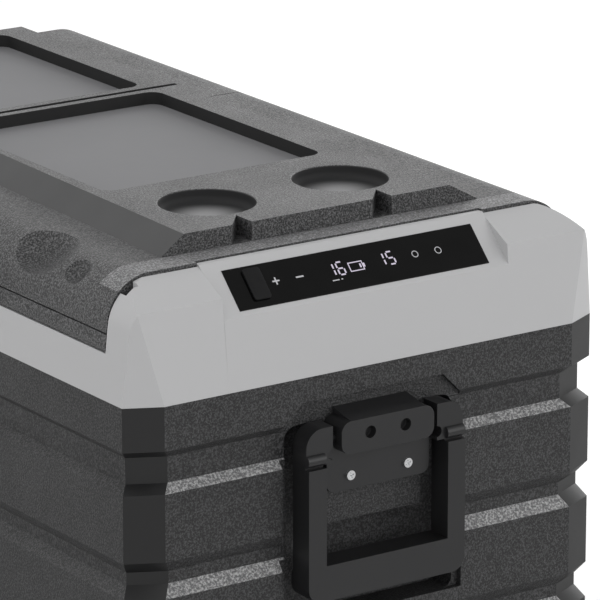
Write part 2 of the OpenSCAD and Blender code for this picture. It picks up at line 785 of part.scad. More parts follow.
// Slotted lift-out basket that stands on the tub's floor; y0 and y1 are the tub's ends there.
module basket(y0, y1, z1) color("#5d6063") {
    inset = liner_t + basket_gap;
    x = tub_x - inset;
    a = y0 + inset;
    b = y1 - inset;
    z0 = tub_floor + liner_t;
    mid_z = (z0 + z1) / 2;
    r = tub_r - inset;
    nx = floor((2 * x - 30) / basket_pitch);
    ny = floor((b - a - 30) / basket_pitch);
    half = basket_slot / 2;
    difference() {
        translate([0, (a + b) / 2, z0]) linear_extrude(z1 - z0) round_rect(2 * x, b - a, r);
        translate([0, (a + b) / 2, z0 + basket_t]) linear_extrude(z1)
            round_rect(2 * x - 2 * basket_t, b - a - 2 * basket_t, r - basket_t);
        for (row = [[z0 + 14, mid_z - 6], [mid_z + 6, z1 - 16]]) {
            for (i = [0 : nx - 1]) translate([(i - (nx - 1) / 2) * basket_pitch, 0, 0])
                span([-half, a - cut, row[0]], [half, b + cut, row[1]]);
            for (i = [0 : ny - 1]) translate([0, (a + b) / 2 + (i - (ny - 1) / 2) * basket_pitch, 0])
                span([-x - cut, -half, row[0]], [x + cut, half, row[1]]);
        }
        for (i = [0 : nx - 1]) translate([(i - (nx - 1) / 2) * basket_pitch, 0, 0])
            span([-half, a + 16, z0 - cut], [half, b - 16, z0 + basket_t + cut]);
    }
}

module basket_front() basket(step_y, tub_front[1], step_floor - 2);
module basket_rear() basket(tub_rear[0], tub_rear[1], land_z - basket_drop);

// ---------------------------------------------------------------- collar and console

// Outline of collar and lids across the box: drafted sides and round shoulders.
module cross_outline(d, drop = 0) {
    side = drop * tan(side_draft);
    x = arc_x + side;
    z = arc_z - drop;
    tx = touch_x + side - d;
    tz = touch_z - drop;
    polygon([[-hw + d, 0], [hw - d, 0], [tx, tz], [x, z], [x, collar_h - drop - d],
             [-x, collar_h - drop - d], [-x, z], [-tx, tz]]);
    for (s = [-1, 1]) translate([s * x, z]) circle(shoulder_r - d, $fn = 96);
}

// Outline of the collar along the box; the console end takes its own crease.
module length_outline(cy, cz, rise) {
    run = edge_h + rise - cz;
    near = rise > 0 ? [[-hl, 0], [-hl + cy, cz], [-hl + cy + run / tan(slope_a), edge_h + rise]]
                    : [[-hl, 0], [-hl + crease_y, crease_z], [-hl + end_depth, edge_h]];
    polygon(concat(near, [[0, edge_h + rise], [0, edge_h], [hl - end_depth, edge_h],
                          [hl - crease_y, crease_z], [hl, 0]]));
}

module collar_outside() translate([0, 0, body_h]) intersection() {
    union() {
        along_y(-hl, hl) cross_outline(0, lid_proud);
        span([-console_half, -hl, collar_h - shoulder_r], [console_half, -hl + 60, edge_h + console_lift]);
    }
    union() {
        difference() {
            along_x(-hw, hw) length_outline(crease_y, crease_z, 0);
            span([-console_half, -hl - cut, -cut], [console_half, -hl + 60, collar_h + cut]);
        }
        intersection() {
            along_x(-hw, hw) length_outline(console_y, console_z, console_lift);
            span([-console_half, -hl - cut, 0], [console_half, -hl + 60, edge_h + console_lift]);
        }
    }
    linear_extrude(collar_h) polygon(plan(0));
}

// Space that the two lids take, with the seam round them, down to the ledge.
module lid_space() {
    span([-hw - cut, lid_y0 - seam, ledge_z], [hw + cut, lid_y1 + seam, top_z]);
}

module console_tongue() {
    span([-console_half, lid_y0 - seam - eps, ledge_z - eps],
         [console_half, lid_y0 + console_step - seam, top_z]);
}

module at_panel() {
    translate([0, panel_y, panel_cz]) rotate([slope_a, 0, 0]) children();
}

flap_x = -panel_w / 2 + flap_w / 2 + flap_in;
flap_up = 1.3;                 // its centre above the middle of the panel
usb_w = 11;
usb_h = 17;
notch_l = 7;
notch_w = 10;
notch_x = 23.4;                // its near side from the middle of the shoulder's round
notch_down = 14;               // its floor below the top of the shoulder

module collar() color(pale) difference() {
    union() {
        intersection() {
            collar_outside();
            union() {
                difference() {
                    span([-hw, -hl, body_h], [hw, hl, top_z]);
                    lid_space();
                }
                console_tongue();
            }
        }
        span([-land_x, lid_y0 + console_step + end_wall + 2, ledge_z - 5],
             [land_x, lid_y1 - end_wall - 2, land_z - 2 - play]);
        for (y = concat(front_hinges, rear_hinges)) for (s = [-1, 1])
            hinge_barrel(y + s * (barrel_l / 2 + 0.4 + fixed_barrel_l / 2), fixed_barrel_l, barrel_d);
    }
    // hollow of the skirt below the ledge, down to the body
    difference() {
        translate([0, 0, body_h - cut]) linear_extrude(lid_rise - 1.5 - 5 + cut)
            polygon(plan(groove_depth + collar_t));
        for (f = [true, false]) tub_wall_block(f);
    }
    // room behind the console for the electronics
    span([-console_half + collar_t, -hl + 13, body_h - cut],
         [console_half - collar_t, lid_y0 - collar_t, body_h + console_z - 2]);
    at_panel() {
        translate([-panel_w / 2 - play / 2, -panel_h / 2 - play / 2, panel_proud - panel_t])
            cube([panel_w + play, panel_h + play, panel_t + 4]);
        translate([-panel_w / 2 + 6, -panel_h / 2 + 5, -20]) cube([panel_w - 12, panel_h - 10, 24]);
    }
    for (f = [true, false]) {
        y = f ? tub_front : tub_rear;
        translate([0, (y[0] + y[1]) / 2, body_h - cut]) linear_extrude(top_z)
            round_rect(2 * tub_x + 2 * play, y[1] - y[0] + 2 * play, tub_r + play);
        translate([0, (y[0] + y[1]) / 2, land_z - 2 - play]) linear_extrude(top_z)
            round_rect(2 * tub_x + 16 + 2 * play, y[1] - y[0] + 16 + 2 * play, tub_r + 8);
    }
    for (y = concat(front_hinges, rear_hinges)) {
        hinge_barrel(y, barrel_l + 0.8, barrel_d + 2 * barrel_gap);
        hinge_barrel(y, barrel_l + 2 * fixed_barrel_l + 10, pin_d + 2 * pin_press);
    }
    for (y = [front_mid, rear_mid]) keeper(y, play / 2);
    // small notch in the edge next to the lid, on the left shoulder
    translate([-arc_x - notch_x, lid_y0 - seam - notch_l, shoulder_z - notch_down])
        cube([notch_w, notch_l + cut, 20]);
}

// Wall of the collar left standing round each tub.
module tub_wall_block(front) {
    y = front ? tub_front : tub_rear;
    translate([0, (y[0] + y[1]) / 2, body_h]) linear_extrude(lid_rise)
        round_rect(2 * tub_x + 12, y[1] - y[0] + 12, tub_r + 6);
}

module hinge_barrel(y, l, d) {
    translate([hinge_x, y - l / 2, hinge_z]) rotate([-90, 0, 0]) cylinder(h = l, d = d);
}

module hinge_pins() color(metal)
    for (y = concat(front_hinges, rear_hinges))
        hinge_barrel(y, barrel_l + 2 * fixed_barrel_l, pin_d);

// Striker plate let into the collar under a latch.
module keeper(y, grow) {
    z = latch_foot - 6;
    span([-hw + 3.4 - 40 * grow, y - 15 - grow, z - grow], [-hw + 5.4 + grow, y + 15 + grow, z + 11 + grow]);
}

module latch_keepers() color(metal) for (y = [front_mid, rear_mid]) keeper(y, 0);

// Black glass over the display, with the opening for the charging sockets.
module panel_glass() color(black) at_panel() difference() {
    translate([-panel_w / 2, -panel_h / 2, panel_proud - panel_t]) cube([panel_w, panel_h, panel_t]);
    translate([flap_x - usb_w / 2, flap_up - usb_h / 2, -panel_t]) cube([usb_w, usb_h, 2 * panel_t]);
}

module display_module() color("#1f2422") at_panel()
    translate([-22, -9, panel_proud - panel_t - 4]) cube([66, 18, 4]);

module control_board() color("#1e5a38") at_panel()
    translate([-panel_w / 2 + 8, -panel_h / 2 + 6, panel_proud - panel_t - 7.2])
        cube([panel_w - 16, panel_h - 12, 1.6]);

// Two stacked charging ports on the board, under the rubber cover.
module usb_socket() color(metal) at_panel() difference() {
    translate([flap_x - usb_w / 2 + play, flap_up - usb_h / 2 + play, panel_proud - panel_t - 5.6])
        cube([usb_w - 2 * play, usb_h - 2 * play, 6.6]);
    for (s = [-1, 1])
        translate([flap_x - 3.4, flap_up + s * 4 - 2.2, panel_proud - 6]) cube([6.8, 4.4, 8]);
}

flap_t = 1.6;

// Rubber cover hinged along its upper edge.
module usb_flap() color("#3f4144") at_panel() {
    translate([flap_x, flap_up, panel_proud + play]) linear_extrude(flap_t)
        round_rect(flap_w, flap_h, 2);
}

// ---------------------------------------------------------------- lids

// Outside of a lid, without the raised middle.
module lid_block(y0, y1, d) {
    intersection() {
        translate([0, 0, body_h]) along_y(y0, y1) cross_outline(d);
        span([-hw, y0, lid_z0], [hw, y1, top_z]);
    }
}

// Raised middle: a frustum whose left side closes in slightly towards the far end.
module plateau(y0, y1, left0, left1) {
    s = plateau_slope;
    h = plateau_h;
    half = plateau_w / 2;
    polyhedron(
        points = [[-left0 - s, y0, shoulder_z - eps], [half + s + 6, y0, shoulder_z - eps],
                  [half + s + 6, y1, shoulder_z - eps], [-left1 - s, y1, shoulder_z - eps],
                  [-left0, y0, shoulder_z + h], [half, y0, shoulder_z + h],
                  [half, y1, shoulder_z + h], [-left1, y1, shoulder_z + h]],
        faces = [[0, 1, 2, 3], [7, 6, 5, 4], [4, 5, 1, 0], [5, 6, 2, 1], [6, 7, 3, 2], [7, 4, 0, 3]]);
}

// Place at y, out by d from the left shoulder's round, a degrees from upright.
module on_left_shoulder(y, a, d) {
    out = shoulder_r + d;
    translate([-arc_x - out * sin(a), y, body_h + arc_z + out * cos(a)]) children();
}

// Ball-shaped finger scoops and the small pocket beside them, grown by a lid's wall.
module scoops(mid, grow) {
    scoop_a = 30;
    for (s = [-1, 1]) on_left_shoulder(mid + s * scoop_off, scoop_a, scoop_r - scoop_depth)
        sphere(scoop_r + grow, $fn = 96);
}

module side_pocket(y0, grow) {
    pocket_r = 16;
    pocket_depth = 5.5;
    on_left_shoulder(y0 + 55, 42, pocket_r - pocket_depth) sphere(pocket_r + grow);
}

module latch_pocket(mid) {
    span([-hw - cut, mid - latch_w / 2 - latch_gap, lid_z0 - cut],
         [-latch_wall, mid + latch_w / 2 + latch_gap, latch_z + 6]);
}

module latch_bore(mid, d) {
    translate([latch_x, mid - latch_w / 2 - 6, latch_z]) rotate([-90, 0, 0])
        cylinder(h = latch_w + 12, d = d);
}

module lid_hollow(y0, y1, mid, front) {
    front_in = front ? console_step : 0;
    difference() {
        intersection() {
            translate([0, 0, body_h]) along_y(y0 + end_wall + front_in, y1 - end_wall)
                cross_outline(lid_t);
            span([-skirt_x, y0, lid_z0 - cut], [skirt_x, y1, shoulder_z - lid_t]);
        }
        scoops(mid, lid_t);
        if (front) side_pocket(y0, lid_t);
        latch_bore(mid, pin_d + 4);
    }
    span([-skirt_x, y0 - cut, lid_z0 - cut], [skirt_x, y1 + cut, panel_z - 0.4]);
}

module lid_shell(y0, y1, front) color(dark) {
    mid = (y0 + y1) / 2;
    step = front ? console_step : 0;
    difference() {
        union() {
            intersection() {
                lid_block(y0, y1, 0);
                span([-hw, y0, split_z], [hw, y1, top_z]);
            }
            plateau(y0 + (front ? plateau_in : 4), y1 - (front ? 0 : plateau_in),
                    plateau_w / 2 + (front ? 5 : -6), plateau_w / 2 - (front ? 5 : 8));
        }
        lid_hollow(y0, y1, mid, front);
        if (front) {
            span([-console_half - 0.3, y0 - cut, lid_z0 - cut], [console_half + 0.3, y0 + step, top_z]);
            for (s = [-1, 1]) translate([s * cup_gap / 2, y0 + cup_in, top_z - recess_d])
                cylinder(h = recess_d + cut, d = cup_d, $fn = 96);
            for (x = [-cup_gap / 2 - 2, cup_gap / 2 + 3]) translate([x, y0 + plateau_in - cut, shoulder_z])
                linear_extrude(plateau_h + cut)
                    polygon([[0, 0], [0, tooth_l + cut], [-tooth_w, 0]]);
            tray(y1 - 7 - tray_len, y1 - 7, 10);
            long_slot(y0 + 219, y0 + 364);
        } else {
            tray(y0 + 12, y1 - plateau_in - 14, 10);
            long_slot(mid - 60, mid + 60);
        }
        scoops(mid, 0);
        if (front) side_pocket(y0, 0);
        latch_pocket(mid);
        latch_bore(mid, pin_d + 2 * pin_press);
    }
}

// Shallow tray sunk in the raised middle.
module tray(y0, y1, r) {
    translate([-8, (y0 + y1) / 2, top_z - recess_d]) linear_extrude(recess_d + cut)
        round_rect(tray_w, y1 - y0, r);
}

// Narrow shadow line along the right shoulder.
module long_slot(y0, y1) {
    slot_a = 31;
    translate([arc_x, 0, body_h + arc_z]) rotate([0, -slot_a, 0])
        span([shoulder_r - 3, y0, -0.9], [shoulder_r + 4, y1, 0.9]);
}

// Inner moulding: the lid's lower rim, its inner walls, the flat panel and the tub pad.
module lid_liner(y0, y1, front, hinges) color(inner_grey) {
    mid = (y0 + y1) / 2;
    tub = front ? tub_front : tub_rear;
    step = front ? console_step : 0;
    pad = 6;
    difference() {
        union() {
            intersection() {
                lid_block(y0, y1, 0);
                union() {
                    span([-hw, y0, lid_z0], [-skirt_x + 2.6, y1, split_z - seam]);
                    span([skirt_x - 2.6, y0, lid_z0], [hw, y1, split_z - seam]);
                }
            }
            for (s = [-1, 1]) translate([s * (skirt_x - 1.3), 0, 0])
                span([-1.3, y0 + end_wall + step + play, lid_z0],
                     [1.3 - play, y1 - end_wall - play, panel_z + moulding_t]);
            span([-skirt_x + play, y0 + end_wall + step + play, panel_z],
                 [skirt_x - play, y1 - end_wall - play, panel_z + moulding_t]);
            translate([0, (tub[0] + tub[1]) / 2, panel_z - 11]) linear_extrude(12)
                round_rect(2 * (tub_x - liner_t - pad), tub[1] - tub[0] - 2 * (liner_t + pad), tub_r - 8);
            for (y = hinges) {
                hinge_barrel(y, barrel_l, barrel_d);
                intersection() {
                    lid_block(y0, y1, 0);
                    span([hinge_x - 4, y - barrel_l / 2, hinge_z - 1],
                         [hw, y + barrel_l / 2, split_z - seam]);
                }
            }
        }
        translate([0, (tub[0] + tub[1]) / 2, panel_z - 9]) linear_extrude(20)
            round_rect(2 * (tub_x - liner_t - pad - 2), tub[1] - tub[0] - 2 * (liner_t + pad + 2),
                       tub_r - 10);
        for (y = hinges) {
            hinge_barrel(y, barrel_l + 2 * fixed_barrel_l + 6, pin_d + 2 * pin_play);
            for (s = [-1, 1])
                hinge_barrel(y + s * (barrel_l / 2 + (fixed_barrel_l + 1.4) / 2), fixed_barrel_l + 1.4,
                             barrel_d + 2 * barrel_gap);
        }
        scoops(mid, lid_t + play);
        if (front) side_pocket(y0, lid_t + play);
        latch_pocket(mid);
    }
}

module lid_foam(y0, y1, front) color("#e8dcae") {
    mid = (y0 + y1) / 2;
    step = front ? console_step : 0;
    tub = front ? tub_front : tub_rear;
    pad = 6;
    difference() {
        union() {
            intersection() {
                translate([0, 0, body_h]) along_y(y0 + end_wall + step + 1, y1 - end_wall - 1)
                    cross_outline(lid_t + play);
                span([-skirt_x + 1, y0, panel_z + moulding_t], [skirt_x - 1, y1, shoulder_z]);
            }
            translate([0, (tub[0] + tub[1]) / 2, panel_z - 9]) linear_extrude(20)
                round_rect(2 * (tub_x - liner_t - pad - 2) - play,
                           tub[1] - tub[0] - 2 * (liner_t + pad + 2) - play, tub_r - 10);
        }
        scoops(mid, lid_t + play);
        if (front) side_pocket(y0, lid_t + play);
    }
}

// Soft seal under the inner moulding, round the tub's rim.
module lid_gasket(front) color("#6e7072") {
    y = front ? tub_front : tub_rear;
    translate([0, (y[0] + y[1]) / 2, land_z + gasket_gap]) linear_extrude(gasket_t) difference() {
        round_rect(2 * tub_x + 13, y[1] - y[0] + 13, tub_r + 6.5);
        round_rect(2 * tub_x + 1, y[1] - y[0] + 1, tub_r + 0.5);
    }
}

// Lever in the lid's side: a barrel on its pin, a plate and a lip over the collar.
module latch(mid) color(black) difference() {
    union() {
        translate([latch_x, mid - latch_w / 2, latch_z]) rotate([-90, 0, 0])
            cylinder(h = latch_w, d = pin_d + 2.4);
        span([latch_x - 2.7, mid - latch_w / 2, lid_z0 + 3], [latch_x + 1.9, mid + latch_w / 2, latch_z]);
        span([-hw + 0.1, mid - latch_w / 2, latch_foot], [-hw + 2.4, mid + latch_w / 2, lid_z0 + 9]);
        span([-hw + 2.3, mid - latch_w / 2, lid_z0 + 3], [latch_x, mid + latch_w / 2, lid_z0 + 9]);
    }
    latch_bore(mid, pin_d + 2 * pin_play);
}

module lid_front_shell() lid_shell(lid_y0, lid_seam - seam / 2, true);
module lid_front_liner() lid_liner(lid_y0, lid_seam - seam / 2, true, front_hinges);
module lid_front_foam() lid_foam(lid_y0, lid_seam - seam / 2, true);
module lid_front_gasket() lid_gasket(true);
module lid_front_latch() latch((lid_y0 + lid_seam - seam / 2) / 2);
module lid_front_latch_pin() color(metal) latch_bore((lid_y0 + lid_seam - seam / 2) / 2, pin_d);

module lid_rear_shell() lid_shell(lid_seam + seam / 2, lid_y1, false);
module lid_rear_liner() lid_liner(lid_seam + seam / 2, lid_y1, false, rear_hinges);
module lid_rear_foam() lid_foam(lid_seam + seam / 2, lid_y1, false);
module lid_rear_gasket() lid_gasket(false);
module lid_rear_latch() latch((lid_seam + seam / 2 + lid_y1) / 2);
module lid_rear_latch_pin() color(metal) latch_bore((lid_seam + seam / 2 + lid_y1) / 2, pin_d);

// ---------------------------------------------------------------- handles

// Screwed plate with the block between the handle's arms.
module handle_bracket() color(dark) difference() {
    union() {
        along_y(-hl - plate_out, -hl + recess_y)
            translate([0, (screw_z - plate_down + block_z) / 2])
                round_rect(plate_w, block_z - screw_z + plate_down, 7);
        along_y(-hl - block_out, -hl + recess_y)
            translate([0, block_z]) round_rect(block_w, block_h, block_r);
        along_x(-block_w / 2 + block_r, block_w / 2 - block_r)
            polygon([[-hl - block_out, block_z], [-hl + recess_y, block_z],
                     [-hl + recess_y, block_z + block_h / 2 + block_rise],
                     [-hl - block_out, block_z + block_h / 2]]);
    }
    for (s = [-1, 1]) {
        translate([s * hole_half, -hl - block_out - cut, block_z + hole_up]) rotate([-90, 0, 0])
            cylinder(h = hole_depth + cut, d = hole_d);
        translate([s * screw_half, -hl - plate_out - cut, screw_z]) rotate([-90, 0, 0])
            cylinder(h = 40, d = screw_d + 0.4);
    }
    pivot_rod(pivot_d + 2 * pin_press, block_w + 20);
}

module pivot_rod(d, l) {
    translate([-l / 2, -hl - pivot_out, pivot_z]) rotate([0, 90, 0]) cylinder(h = l, d = d);
}

module handle_bracket_front() handle_bracket();
module handle_bracket_rear() at_rear() handle_bracket();

module handle_pins() color(metal) {
    pivot_rod(pivot_d, bail_w - 12);
    at_rear() pivot_rod(pivot_d, bail_w - 12);
}

// Pan-head screws with a cross recess.
module bracket_screw() {
    rotate([90, 0, 0]) difference() {
        union() {
            translate([0, 0, plate_out]) cylinder(h = 2.2, d = 2 * screw_d);
            translate([0, 0, -channel_y + 4]) cylinder(h = channel_y - 4 + plate_out + eps, d = screw_d);
        }
        for (a = [0, 90]) rotate([0, 0, a + 20]) translate([0, 0, plate_out + 1.8])
            cube([4.6, 1.1, 2], center = true);
    }
}

module bracket_screws() color(metal) for (s = [-1, 1]) {
    translate([s * screw_half, -hl, screw_z]) bracket_screw();
    at_rear() translate([s * screw_half, -hl, screw_z]) bracket_screw();
}

// Folding handle: two arms that turn on the pin and a grip between them.
module handle_bail() color(dark) {
    half = bail_w / 2;
    hub_top = pivot_z + hub_up;
    knuckle_z = pivot_z - hub_down - knuckle_d / 2;
    hub_low = knuckle_z - knuckle_d / 2;
    difference() {
        union() {
            for (s = [-1, 1]) mirror([s < 0 ? 1 : 0, 0, 0]) {
                along_y(-hl - block_out + hub_back, -hl + arm_back) difference() {
                    translate([half - hub_w, hub_low]) square([hub_w, hub_top - hub_low]);
                    round_off(half, hub_top, hub_r);
                    translate([half - hub_w, knuckle_z + notch_r / 2]) circle(notch_r);
                }
                translate([half - arm_w, -hl - block_out + knuckle_d / 2, knuckle_z])
                    rotate([0, 90, 0]) cylinder(h = arm_w, d = knuckle_d);
                along_y(-hl - block_out, -hl + arm_back)
                    translate([half - arm_w, grip_low + grip_h / 2])
                        square([arm_w, hub_low - ledge_gap - grip_low - grip_h / 2]);
                along_y(-hl - block_out + hub_back + ledge_gap, -hl + arm_back)
                    translate([half - arm_w, hub_low - ledge_gap - cut])
                        square([arm_w, 2 * cut + ledge_gap]);
            }
            along_y(-hl - block_out, -hl - block_out + grip_t)
                translate([0, grip_low + grip_h / 2]) round_rect(bail_w, grip_h, 11);
        }
        pivot_rod(pivot_d + 2 * pin_play, bail_w - 12 + 2 * pin_play);
    }
}

module handle_bail_front() handle_bail();
module handle_bail_rear() at_rear() handle_bail();

body_shell();
rubber_feet();
foot_screws();
vent_grille_left();
vent_grille_right();
compressor_plate();
compressor();
compressor_grommets();
compressor_bolts();
condenser();
fan_frame();
fan_rotor();
filter_drier();
refrigerant_pipes();
power_module();
machine_bulkhead();
dc_inlet();
dc_inlet_pins();
wiring_loom();
insulation_foam();
liner_front();
liner_rear();
evaporator_front();
evaporator_rear();
basket_front();
basket_rear();
lamp_lens();
collar();
panel_glass();
display_module();
control_board();
usb_socket();
usb_flap();
hinge_pins();
latch_keepers();
lid_front_shell();
lid_front_liner();
lid_front_foam();
lid_front_gasket();
lid_front_latch();
lid_front_latch_pin();
lid_rear_shell();
lid_rear_liner();
lid_rear_foam();
lid_rear_gasket();
lid_rear_latch();
lid_rear_latch_pin();
handle_bracket_front();
handle_bracket_rear();
handle_pins();
bracket_screws();
handle_bail_front();
handle_bail_rear();
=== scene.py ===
"""Looks of a compressor cooler fridge: a ribbed dark box with two lids, a pale collar with a
sloped control console, and a folding handle at each end. Metres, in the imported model's frame:
+X towards the lids' hinges, +Y away from the console, +Z up, the ground at Z = 0.
"""

import json
import math

import bmesh
import bpy
import numpy as np
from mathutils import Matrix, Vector


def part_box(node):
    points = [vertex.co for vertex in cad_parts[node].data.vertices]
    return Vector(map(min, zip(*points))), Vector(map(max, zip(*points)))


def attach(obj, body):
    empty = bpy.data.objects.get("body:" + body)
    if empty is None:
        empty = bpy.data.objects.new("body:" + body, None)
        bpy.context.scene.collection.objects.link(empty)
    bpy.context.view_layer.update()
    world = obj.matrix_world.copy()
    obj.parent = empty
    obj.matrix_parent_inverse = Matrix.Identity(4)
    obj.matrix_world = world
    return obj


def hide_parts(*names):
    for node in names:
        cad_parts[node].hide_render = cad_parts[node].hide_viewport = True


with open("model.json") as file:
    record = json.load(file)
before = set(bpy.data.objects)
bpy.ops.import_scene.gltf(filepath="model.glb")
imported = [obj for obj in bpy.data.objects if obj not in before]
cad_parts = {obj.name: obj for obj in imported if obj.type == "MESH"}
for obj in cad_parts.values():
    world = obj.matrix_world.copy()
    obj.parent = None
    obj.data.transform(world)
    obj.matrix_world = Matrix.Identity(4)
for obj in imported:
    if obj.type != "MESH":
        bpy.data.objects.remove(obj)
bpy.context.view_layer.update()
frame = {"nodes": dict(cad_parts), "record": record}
scene = bpy.context.scene
MM = 0.001

# ---------------------------------------------------------------------------- camera
# A long lens from the front left, a little above the lids, close on the console end.

lens_mm = 300
look_at = np.array([-62.38, -358.0, 409.13]) * MM
stand_at = np.array([-1923.59, -3078.98, 1392.06]) * MM


def aim(thing, place, target):
    """Places a camera or lamp and turns its -Z axis along the line from place to target."""
    thing.location = place
    thing.rotation_euler = Vector(target - place).to_track_quat("-Z", "Y").to_euler()


camera = bpy.data.objects.new("camera", bpy.data.cameras.new("camera"))
camera.data.lens = lens_mm
camera.data.sensor_width = 36
camera.data.clip_end = 100
scene.collection.objects.link(camera)
aim(camera, stand_at, look_at)
scene.camera = camera
scene.view_settings.view_transform = "Standard"

# ---------------------------------------------------------------------------- studio
# A pale floor under a bright horizon, a broad lamp overhead and a softer one at each side.


def colour(code):
    """sRGB hex to linear: v / 12.92 up to 0.04045, else ((v + 0.055) / 1.055) to the power 2.4."""
    v = np.array([int(code[i : i + 2], 16) for i in (1, 3, 5)]) / 255
    linear = np.where(v <= 0.04045, v / 12.92, ((v + 0.055) / 1.055) ** 2.4)
    return (*linear.tolist(), 1.0)


def add(tree, kind, settings=None, links=None):
    """Adds one shader node. A setting names a property or an input; a link joins an output to an input."""
    made = tree.nodes.new("ShaderNode" + kind)
    for name, value in (settings or {}).items():
        if isinstance(name, str) and hasattr(made, name):
            setattr(made, name, value)
        else:
            made.inputs[name].default_value = value
    for name, output in (links or {}).items():
        tree.links.new(output, made.inputs[name])
    return made


def lamp(name, place, target, width, height, watts):
    """A rectangular soft box at place, facing target."""
    light = bpy.data.lights.new(name, "AREA")
    light.shape = "RECTANGLE"
    light.size = width
    light.size_y = height
    light.energy = watts
    box = bpy.data.objects.new(name, light)
    scene.collection.objects.link(box)
    aim(box, np.array(place), np.array(target))


lamp("top_box", (-0.6, 0.2, 2.6), (-0.1, 0, 0.3), 1.8, 1.6, 13)
lamp("left_box", (-2.6, 0.2, 0.9), (-0.6, 0, 0.0), 1.6, 1.2, 5)
lamp("right_box", (2.6, 0.6, 0.9), (0.7, -0.4, 0.0), 1.4, 1.0, 26)

# The tent: bright round the horizon, darker overhead and where the camera stands.
world = bpy.data.worlds.new("studio")
scene.world = world
world.use_nodes = True
tree = world.node_tree
tree.nodes.clear()
way = add(tree, "TexCoord").outputs["Generated"]
height = add(tree, "SeparateXYZ", links={0: way}).outputs["Z"]
ceiling = add(tree, "MapRange", {1: 0.50, 2: 0.76, 3: 1.12, 4: 0.22}, {0: height})
front = add(tree, "VectorMath", {"operation": "DOT_PRODUCT", 1: (0.3, -0.95, 0.0)}, {0: way})
front_wall = add(tree, "MapRange", {1: -0.9, 2: 0.9, 3: 1.15, 4: 1.48}, {0: front.outputs["Value"]})
left = add(tree, "VectorMath", {"operation": "DOT_PRODUCT", 1: (-1.0, 0.0, 0.0)}, {0: way})
left_wall = add(tree, "MapRange", {1: 0.0, 2: 0.9, 3: 1.0, 4: 0.62}, {0: left.outputs["Value"]})
walls = add(tree, "Math", {"operation": "MULTIPLY"}, {0: front_wall.outputs[0], 1: left_wall.outputs[0]})
tent = add(tree, "Math", {"operation": "MULTIPLY"}, {0: ceiling.outputs[0], 1: walls.outputs[0]})
path = add(tree, "LightPath")
seen = add(tree, "Math", {"operation": "MAXIMUM"},
           {0: path.outputs["Is Camera Ray"], 1: path.outputs["Is Transmission Ray"]})
level = add(tree, "Mix", {"data_type": "FLOAT", 3: 1.0}, {0: seen.outputs[0], 2: tent.outputs[0]})
sky = add(tree, "Background", {"Color": colour("#ffffff")}, {"Strength": level.outputs[0]})
add(tree, "OutputWorld", links={"Surface": sky.outputs[0]})


def floor_paint():
    """Matt pale studio floor: seen by the camera it glows a little, so that it fades to white."""
    material = bpy.data.materials.new("studio_floor")
    material.use_nodes = True
    tree = material.node_tree
    tree.nodes.clear()
    matt = add(tree, "BsdfDiffuse", {"Color": colour("#dcdcdc")})
    glow = add(tree, "Emission", {"Color": colour("#ffffff"), "Strength": 0.42})
    path = add(tree, "LightPath")
    seen = add(tree, "MixShader", links={0: path.outputs["Is Camera Ray"]})
    both = add(tree, "AddShader", links={0: matt.outputs[0], 1: glow.outputs[0]})
    tree.links.new(matt.outputs[0], seen.inputs[1])
    tree.links.new(both.outputs[0], seen.inputs[2])
    add(tree, "OutputMaterial", links={"Surface": seen.outputs[0]})
    return material


floor_half = 30.0
floor_mesh = bpy.data.meshes.new("floor")
floor_mesh.from_pydata([(-floor_half, -floor_half, 0), (floor_half, -floor_half, 0),
                        (floor_half, floor_half, 0), (-floor_half, floor_half, 0)], [], [(0, 1, 2, 3)])
floor = bpy.data.objects.new("floor", floor_mesh)
floor_mesh.materials.append(floor_paint())
scene.collection.objects.link(floor)

# ---------------------------------------------------------------------------- body
# The dark outer shell, injection moulded in polypropylene. Its flat walls have a pebble
# grain from the mould; the corner facets are left smooth and look plainer and darker, and
# the upward slopes of the ribs at the ends carry a painted highlight: they are coloured pale.


def coordinates(tree):
    """Object coordinates, in metres, the same as the row frame."""
    return add(tree, "TexCoord").outputs["Object"]


def new_material(name):
    """An empty material with its node tree."""
    material = bpy.data.materials.new(name)
    material.use_nodes = True
    material.node_tree.nodes.clear()
    return material, material.node_tree


def grained_polypropylene(name, dark, light, grain_mm=1.6, depth_mm=0.6, roughness=0.5):
    """Moulded polypropylene with a pebble grain: rounded bumps that catch the light as speckle.
    The real grain is about 1 mm; it is drawn at grain_mm so that it shows at this size."""
    material, tree = new_material(name)
    where = coordinates(tree)
    pebbles = add(tree, "TexNoise", {"Scale": 1 / (grain_mm * MM), "Detail": 3.0, "Roughness": 0.65},
                  {"Vector": where})
    cloud = add(tree, "TexNoise", {"Scale": 1 / (60 * MM), "Detail": 2.0}, {"Vector": where})
    tone = add(tree, "MapRange", {1: 0.44, 2: 0.64, 3: 0.0, 4: 1.0}, {0: pebbles.outputs[0]})
    tint = add(tree, "Mix", {"data_type": "RGBA", 6: colour(dark), 7: colour(light)}, {0: tone.outputs[0]})
    worn = add(tree, "MapRange", {1: 0.3, 2: 0.7, 3: roughness - 0.05, 4: roughness + 0.06},
               {0: cloud.outputs[0]})
    relief = add(tree, "Bump", {"Strength": 1.0, "Distance": depth_mm * MM}, {"Height": pebbles.outputs[0]})
    skin = add(tree, "BsdfPrincipled", {"IOR": 1.5},
               {"Base Color": tint.outputs[2], "Roughness": worn.outputs[0], "Normal": relief.outputs[0]})
    add(tree, "OutputMaterial", links={"Surface": skin.outputs[0]})
    return material


